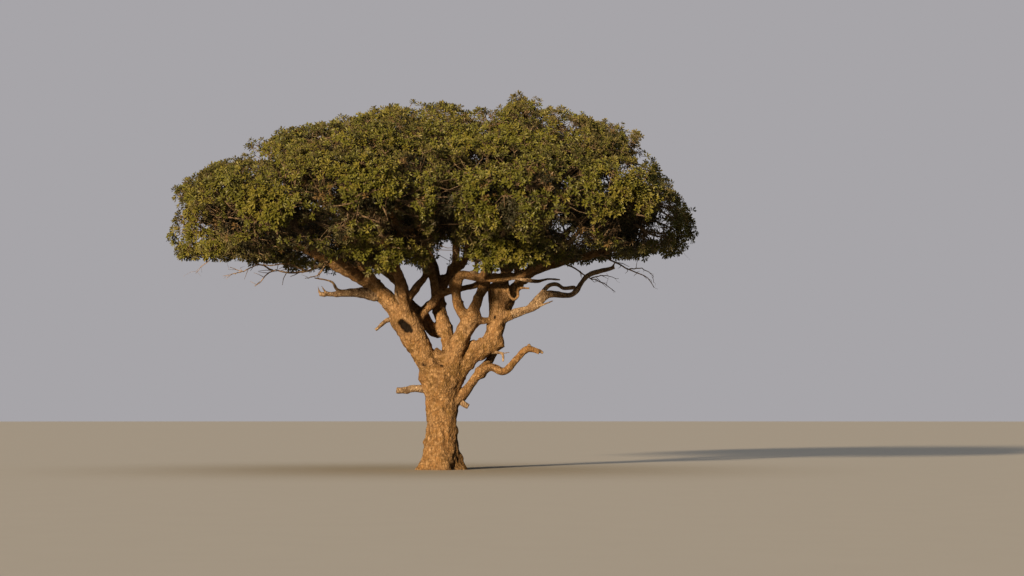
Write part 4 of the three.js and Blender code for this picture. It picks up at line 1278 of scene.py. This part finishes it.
def grow_twigs(mass, random):
    """The stem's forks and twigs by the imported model's rule: where the twigs run, and their tubes."""
    stream = seeded(mass.number)
    fork_ways = mass.growth(FORKS_PER_STEM, stream)
    forks = mass.centre + fork_ways * (mass.reach(fork_ways)[1] * FORK_SHARE)[:, None]
    outermost = unit(mass.centre - CROWN_MIDDLE)
    ways = np.concatenate([[outermost], mass.growth(SPRAY_DIRECTIONS, stream)])
    reach = mass.reach(ways)[1]
    tips = mass.centre + ways * (reach - SPRAY_LENGTH * 0.6)[:, None]
    starts = forks[np.argmin(np.linalg.norm(tips[:, None] - forks[None], axis=2), axis=1)]
    bends = (starts + tips) / 2 + random.normal(0, 0.12, tips.shape) - (0, 0, 0.1)

    path, radii = mass.stem.even(0.25)
    path = np.concatenate([mass.bough.at(1 - 0.08 / mass.bough.length), path])
    radii = np.concatenate([radii[:1] * 0.98, radii])
    middles = np.repeat(mass.centre[None], len(forks), 0)
    sway = random.normal(0, 0.09, forks.shape)
    wood = [
        tubes(path[None], radii[None], 8),
        tubes(
            bent_paths(middles, forks, (middles + forks) / 2 + sway, 5),
            between(np.full(len(forks), FORK_RADIUS), np.full(len(forks), TWIG_RADIUS), 5), 6,
        ),
        tubes(
            bent_paths(starts, tips, bends, 6),
            between(np.full(len(tips), TWIG_RADIUS), np.full(len(tips), TWIG_TIP_RADIUS), 6), 4,
        ),
    ]
    return starts, bends, tips, wood


def crown_skin(mass, ways, outline):
    """How far out from the middle of a mass the whole crown's skin lies, with its seams filled."""
    near, far = outline * 0.9, outline * 1.35
    for _ in range(9):
        middle = (near + far) / 2
        points = mass.centre + ways * middle[:, None]
        shares = np.array([other.share_of_outline(points - other.centre) for other in masses])
        inside = np.exp((1 - shares) / SEAM_FILL).sum(0) > 1
        near, far = np.where(inside, middle, near), np.where(inside, far, middle)
    return near


def sprig_forks(mass, random):
    """Where sprigs fork, the ways they face and how deep they lie: most close under the crown's skin."""
    count = round(SPRIGS_PER_MASS * mass.half.prod() ** (2 / 3) / USUAL_MASS)
    ways = unit((even_directions(count) + random.normal(0, 0.05, (count, 3))) * mass.half)
    outline, reach = mass.reach(ways)
    hidden = buried(mass, mass.centre + ways * outline[:, None])
    reach = np.where(hidden, reach, crown_skin(mass, ways, outline))
    surface = mass.centre + ways * reach[:, None]
    coarse = lattice_noise(surface / BROAD_CLUMPS, mass.number)
    fine = lattice_noise(surface / SMALL_CLUMPS, mass.number + 30)
    full = coarse * 0.6 + fine * 0.6 >= -THIN_PLACES
    deeper = hidden | (random.random(count) < DEEPER_SHARE)
    inner_kept = random.random(count) < INNER_SHARE
    keep = np.where(hidden, inner_kept, full | deeper | (random.random(count) < STRAY_SHARE))
    dark = within(HOLLOWS, *front_view(surface), 0) & (surface[:, 1] < 1)
    keep &= ~dark | deeper | (random.random(count) < HOLLOW_SHARE)
    proud = random.random(count) < PROUD_SHARE
    depth = SKIN_DEPTH - 0.26 * coarse - 0.24 * fine + random.random(count) * 0.14
    depth += np.where(deeper, random.uniform(0.2, 1.4, count), 0)
    depth -= np.where(proud & ~deeper, random.uniform(0.1, 0.35, count), 0)
    out = mass.facing(ways)
    forks, out, depth = (surface - out * depth[:, None])[keep], out[keep], depth[keep]
    for name, (across, up), back, spread, sprigs in TUFTS:
        if name == mass.name:
            scale = 1 + back / PICTURE_PLANE
            height = CAMERA_PLACE[2] + (up - CAMERA_PLACE[2]) * scale
            more = np.array((across * scale, back, height)) + random.normal(0, spread * 0.5, (sprigs, 3))
            forks = np.concatenate([forks, more])
            facing = unit(more - mass.centre + random.normal(0, 0.5, (sprigs, 3)))
            out = np.concatenate([out, facing])
            depth = np.concatenate([depth, np.full(sprigs, SKIN_DEPTH)])
    return forks, out, depth


def room_for(points, gap, margin):
    """Which points leave the limbs a gap, keep inside the crown's outline, and let sun and view pass."""
    seen = shows_sky(points, ragged(points, margin)) | hides_limb(points)
    return clear_of_wood(points, gap) & ~seen & ~shades_limb(points)


def grow_crown():
    """The crown's stems, sprigs and shoots as tubes, and every whorl's place, axis and depth."""
    stems, sprigs, shoots, places, axes, depths = [], [], [], [], [], []
    for mass in masses:
        random = np.random.default_rng(mass.number)
        starts, bends, tips, wood = grow_twigs(mass, random)
        stems += wood
        forks, out, inner = sprig_forks(mass, random)
        good = room_for(forks, *FORK_ROOM)
        forks, out, inner = forks[good], out[good], inner[good]

        count = len(forks)
        nearest = np.argmin(np.linalg.norm(forks[:, None] - tips[None], axis=2), axis=1)
        along = random.uniform(0.55, 1, count)[:, None]
        roots = on_curve(starts[nearest], bends[nearest], tips[nearest], along)
        span = np.linalg.norm(forks - roots, axis=1)[:, None]
        turns = forks - unit(out + (0, 0, 0.3)) * span * 0.4
        thick = np.full(count, SPRIG_RADIUS)
        sprigs.append(tubes(bent_paths(roots, forks, turns, 3), between(thick, thick * 0.7, 3), 3))

        turned = frames_about(out, random.uniform(0, 2 * math.pi, count))
        for shoot in range(SHOOTS_PER_SPRIG):
            angle = 2 * math.pi * shoot / SHOOTS_PER_SPRIG + random.uniform(-0.4, 0.4, count)
            across, over = turned[:, :, 0], turned[:, :, 1]
            sideways = across * np.cos(angle)[:, None] + over * np.sin(angle)[:, None]
            rise = random.uniform(0.2, 1.3, count)[:, None]
            way = unit(sideways * 0.9 + out * rise + (0, 0, 0.15))
            spots = forks + way * (SHOOT_LENGTH * random.uniform(0.7, 1.2, count))[:, None]
            axis = unit(out * 0.6 + way * 0.55 + (0, 0, 0.35) + random.normal(0, 0.2, way.shape))
            good = room_for(spots, *WHORL_ROOM)
            shoots.append(spikes(forks[good], spots[good] + axis[good] * 0.03, SPRIG_RADIUS * 0.8))
            places.append(spots[good])
            axes.append(axis[good])
            depths.append(inner[good])
    return stems, sprigs, shoots, np.concatenate(places), np.concatenate(axes), np.concatenate(depths)


def leaf_pieces(places, axes, depths):
    """Whorls joined into a piece for each tint, in drifts of one age, with painted shade in depths and
    hollows.
    """
    random = np.random.default_rng(5)
    kinds = [whorl(random) for _ in range(WHORL_KINDS)]
    kind = random.integers(0, WHORL_KINDS, len(places))
    sizes = random.uniform(0.85, 1.18, len(places))
    turned = frames_about(axes, random.uniform(0, 2 * math.pi, len(places))) * sizes[:, None, None]
    age_and_shade = lattice_noise(places / DRIFT_SIZE, 3) * 0.5 + random.normal(0, 0.3, len(places))
    # Painted shade: whorls deep in the crown and in the dark hollows take the darker tints.
    age_and_shade -= np.clip(depths - 0.6, 0, 0.5) * 2
    age_and_shade -= within(HOLLOWS, *front_view(places), 0)
    order = np.argsort(np.argsort(age_and_shade)) / len(places)
    limits = np.cumsum([share for share, _, _ in LEAF_TINTS.values()])
    tint = np.searchsorted(limits, order, side="right")
    for number, (name, (_, upper, under)) in enumerate(LEAF_TINTS.items()):
        parts = []
        for k, (corners, faces) in enumerate(kinds):
            chosen = np.flatnonzero((tint == number) & (kind == k))
            moved = np.einsum("nij,vj->nvi", turned[chosen], corners) + places[chosen, None]
            parts.append(copied(moved, faces))
        mesh = new_mesh(name, *joined(parts), False)
        new_piece(name, mesh, leaf_finish(name, upper, under), MASSES)


stems, sprigs, shoots, places, axes, depths = grow_crown()
for name, parts, rounded in (
    ("crown_boughs", stems, True), ("sprigs", sprigs, True), ("shoots", shoots, False),
):
    new_piece(name, new_mesh(name, *joined(parts), rounded), twig_bark, MASSES)
leaf_pieces(places, axes, depths)


# The floor, the light and the camera.

def lay_floor():
    """A wide plain floor, which meets the sky at the horizon."""
    angles = np.linspace(0, 2 * math.pi, FLOOR_SIDES, endpoint=False)
    rings = [np.zeros((1, 3))]
    for reach in (*FLOOR_RINGS, FLOOR_REACH):
        rings.append(np.stack([np.cos(angles) * reach, np.sin(angles) * reach, angles * 0], axis=1))
    near = np.arange(FLOOR_SIDES)
    following = (near + 1) % FLOOR_SIDES
    faces = [np.stack([near * 0, near + 1, following + 1], 1)]
    for ring in range(len(FLOOR_RINGS)):
        a, b = near + 1 + ring * FLOOR_SIDES, following + 1 + ring * FLOOR_SIDES
        faces += [
            np.stack([a, a + FLOOR_SIDES, b + FLOOR_SIDES], 1), np.stack([a, b + FLOOR_SIDES, b], 1),
        ]
    mesh = new_mesh("floor", np.concatenate(rings), np.concatenate(faces), False)
    finish, tree, shader = new_finish("pale floor", 0.9, 0.2)
    darker = tuple(part * 0.97 for part in FLOOR_COLOUR) + (1,)
    plain = mix_colours(tree, blotches(tree, 0.8, 0.5, 0.4), (*FLOOR_COLOUR, 1), darker)
    seen = add_node(tree, "ShaderNodeLightPath").outputs["Is Camera Ray"]
    tree.links.new(mix_colours(tree, seen, (*FLOOR_GLOW, 1), plain), shader.inputs["Base Color"])
    mesh.materials.append(finish)
    floor = new_object("floor", mesh)


def new_sun(name, strength, softness):
    """A far light, which shines straight down until it is turned."""
    light = bpy.data.lights.new(name, "SUN")
    light.energy = strength
    light.angle = softness
    return new_object(name, light)


def light_scene():
    """A low warm key light, and a pale surround that lights less than it shows."""
    key = new_sun("key", KEY_STRENGTH, KEY_SOFTNESS)
    key.data.color = KEY_COLOUR
    key.rotation_euler = KEY_TRAVEL.to_track_quat("-Z", "Y").to_euler()
    new_sun("overhead", OVERHEAD_STRENGTH, OVERHEAD_SOFTNESS)
    world = bpy.data.worlds.new("pale surround")
    world.use_nodes = True
    tree = world.node_tree
    tree.nodes.clear()
    seen = add_node(tree, "ShaderNodeLightPath").outputs["Is Camera Ray"]
    strength = ramp(tree, seen, {"To Min": SURROUND_LIGHT, "To Max": 1.0})
    backdrop = add_node(
        tree, "ShaderNodeBackground", {"Color": (*SURROUND_COLOUR, 1), "Strength": strength},
    )
    ending = tree.nodes.new("ShaderNodeOutputWorld")
    tree.links.new(backdrop.outputs["Background"], ending.inputs["Surface"])
    bpy.context.scene.world = world


def set_camera():
    """The camera, at the height of a person's eyes."""
    camera = new_object("camera", bpy.data.cameras.new("camera"))
    camera.location = CAMERA_PLACE
    camera.rotation_euler = Euler((math.pi / 2 + CAMERA_TILT, 0, -CAMERA_PAN))
    camera.data.lens = CAMERA_LENS
    camera.data.clip_end = 2 * FLOOR_REACH
    bpy.context.scene.camera = camera


lay_floor()
light_scene()
set_camera()
bpy.context.scene.view_settings.view_transform = "Standard"
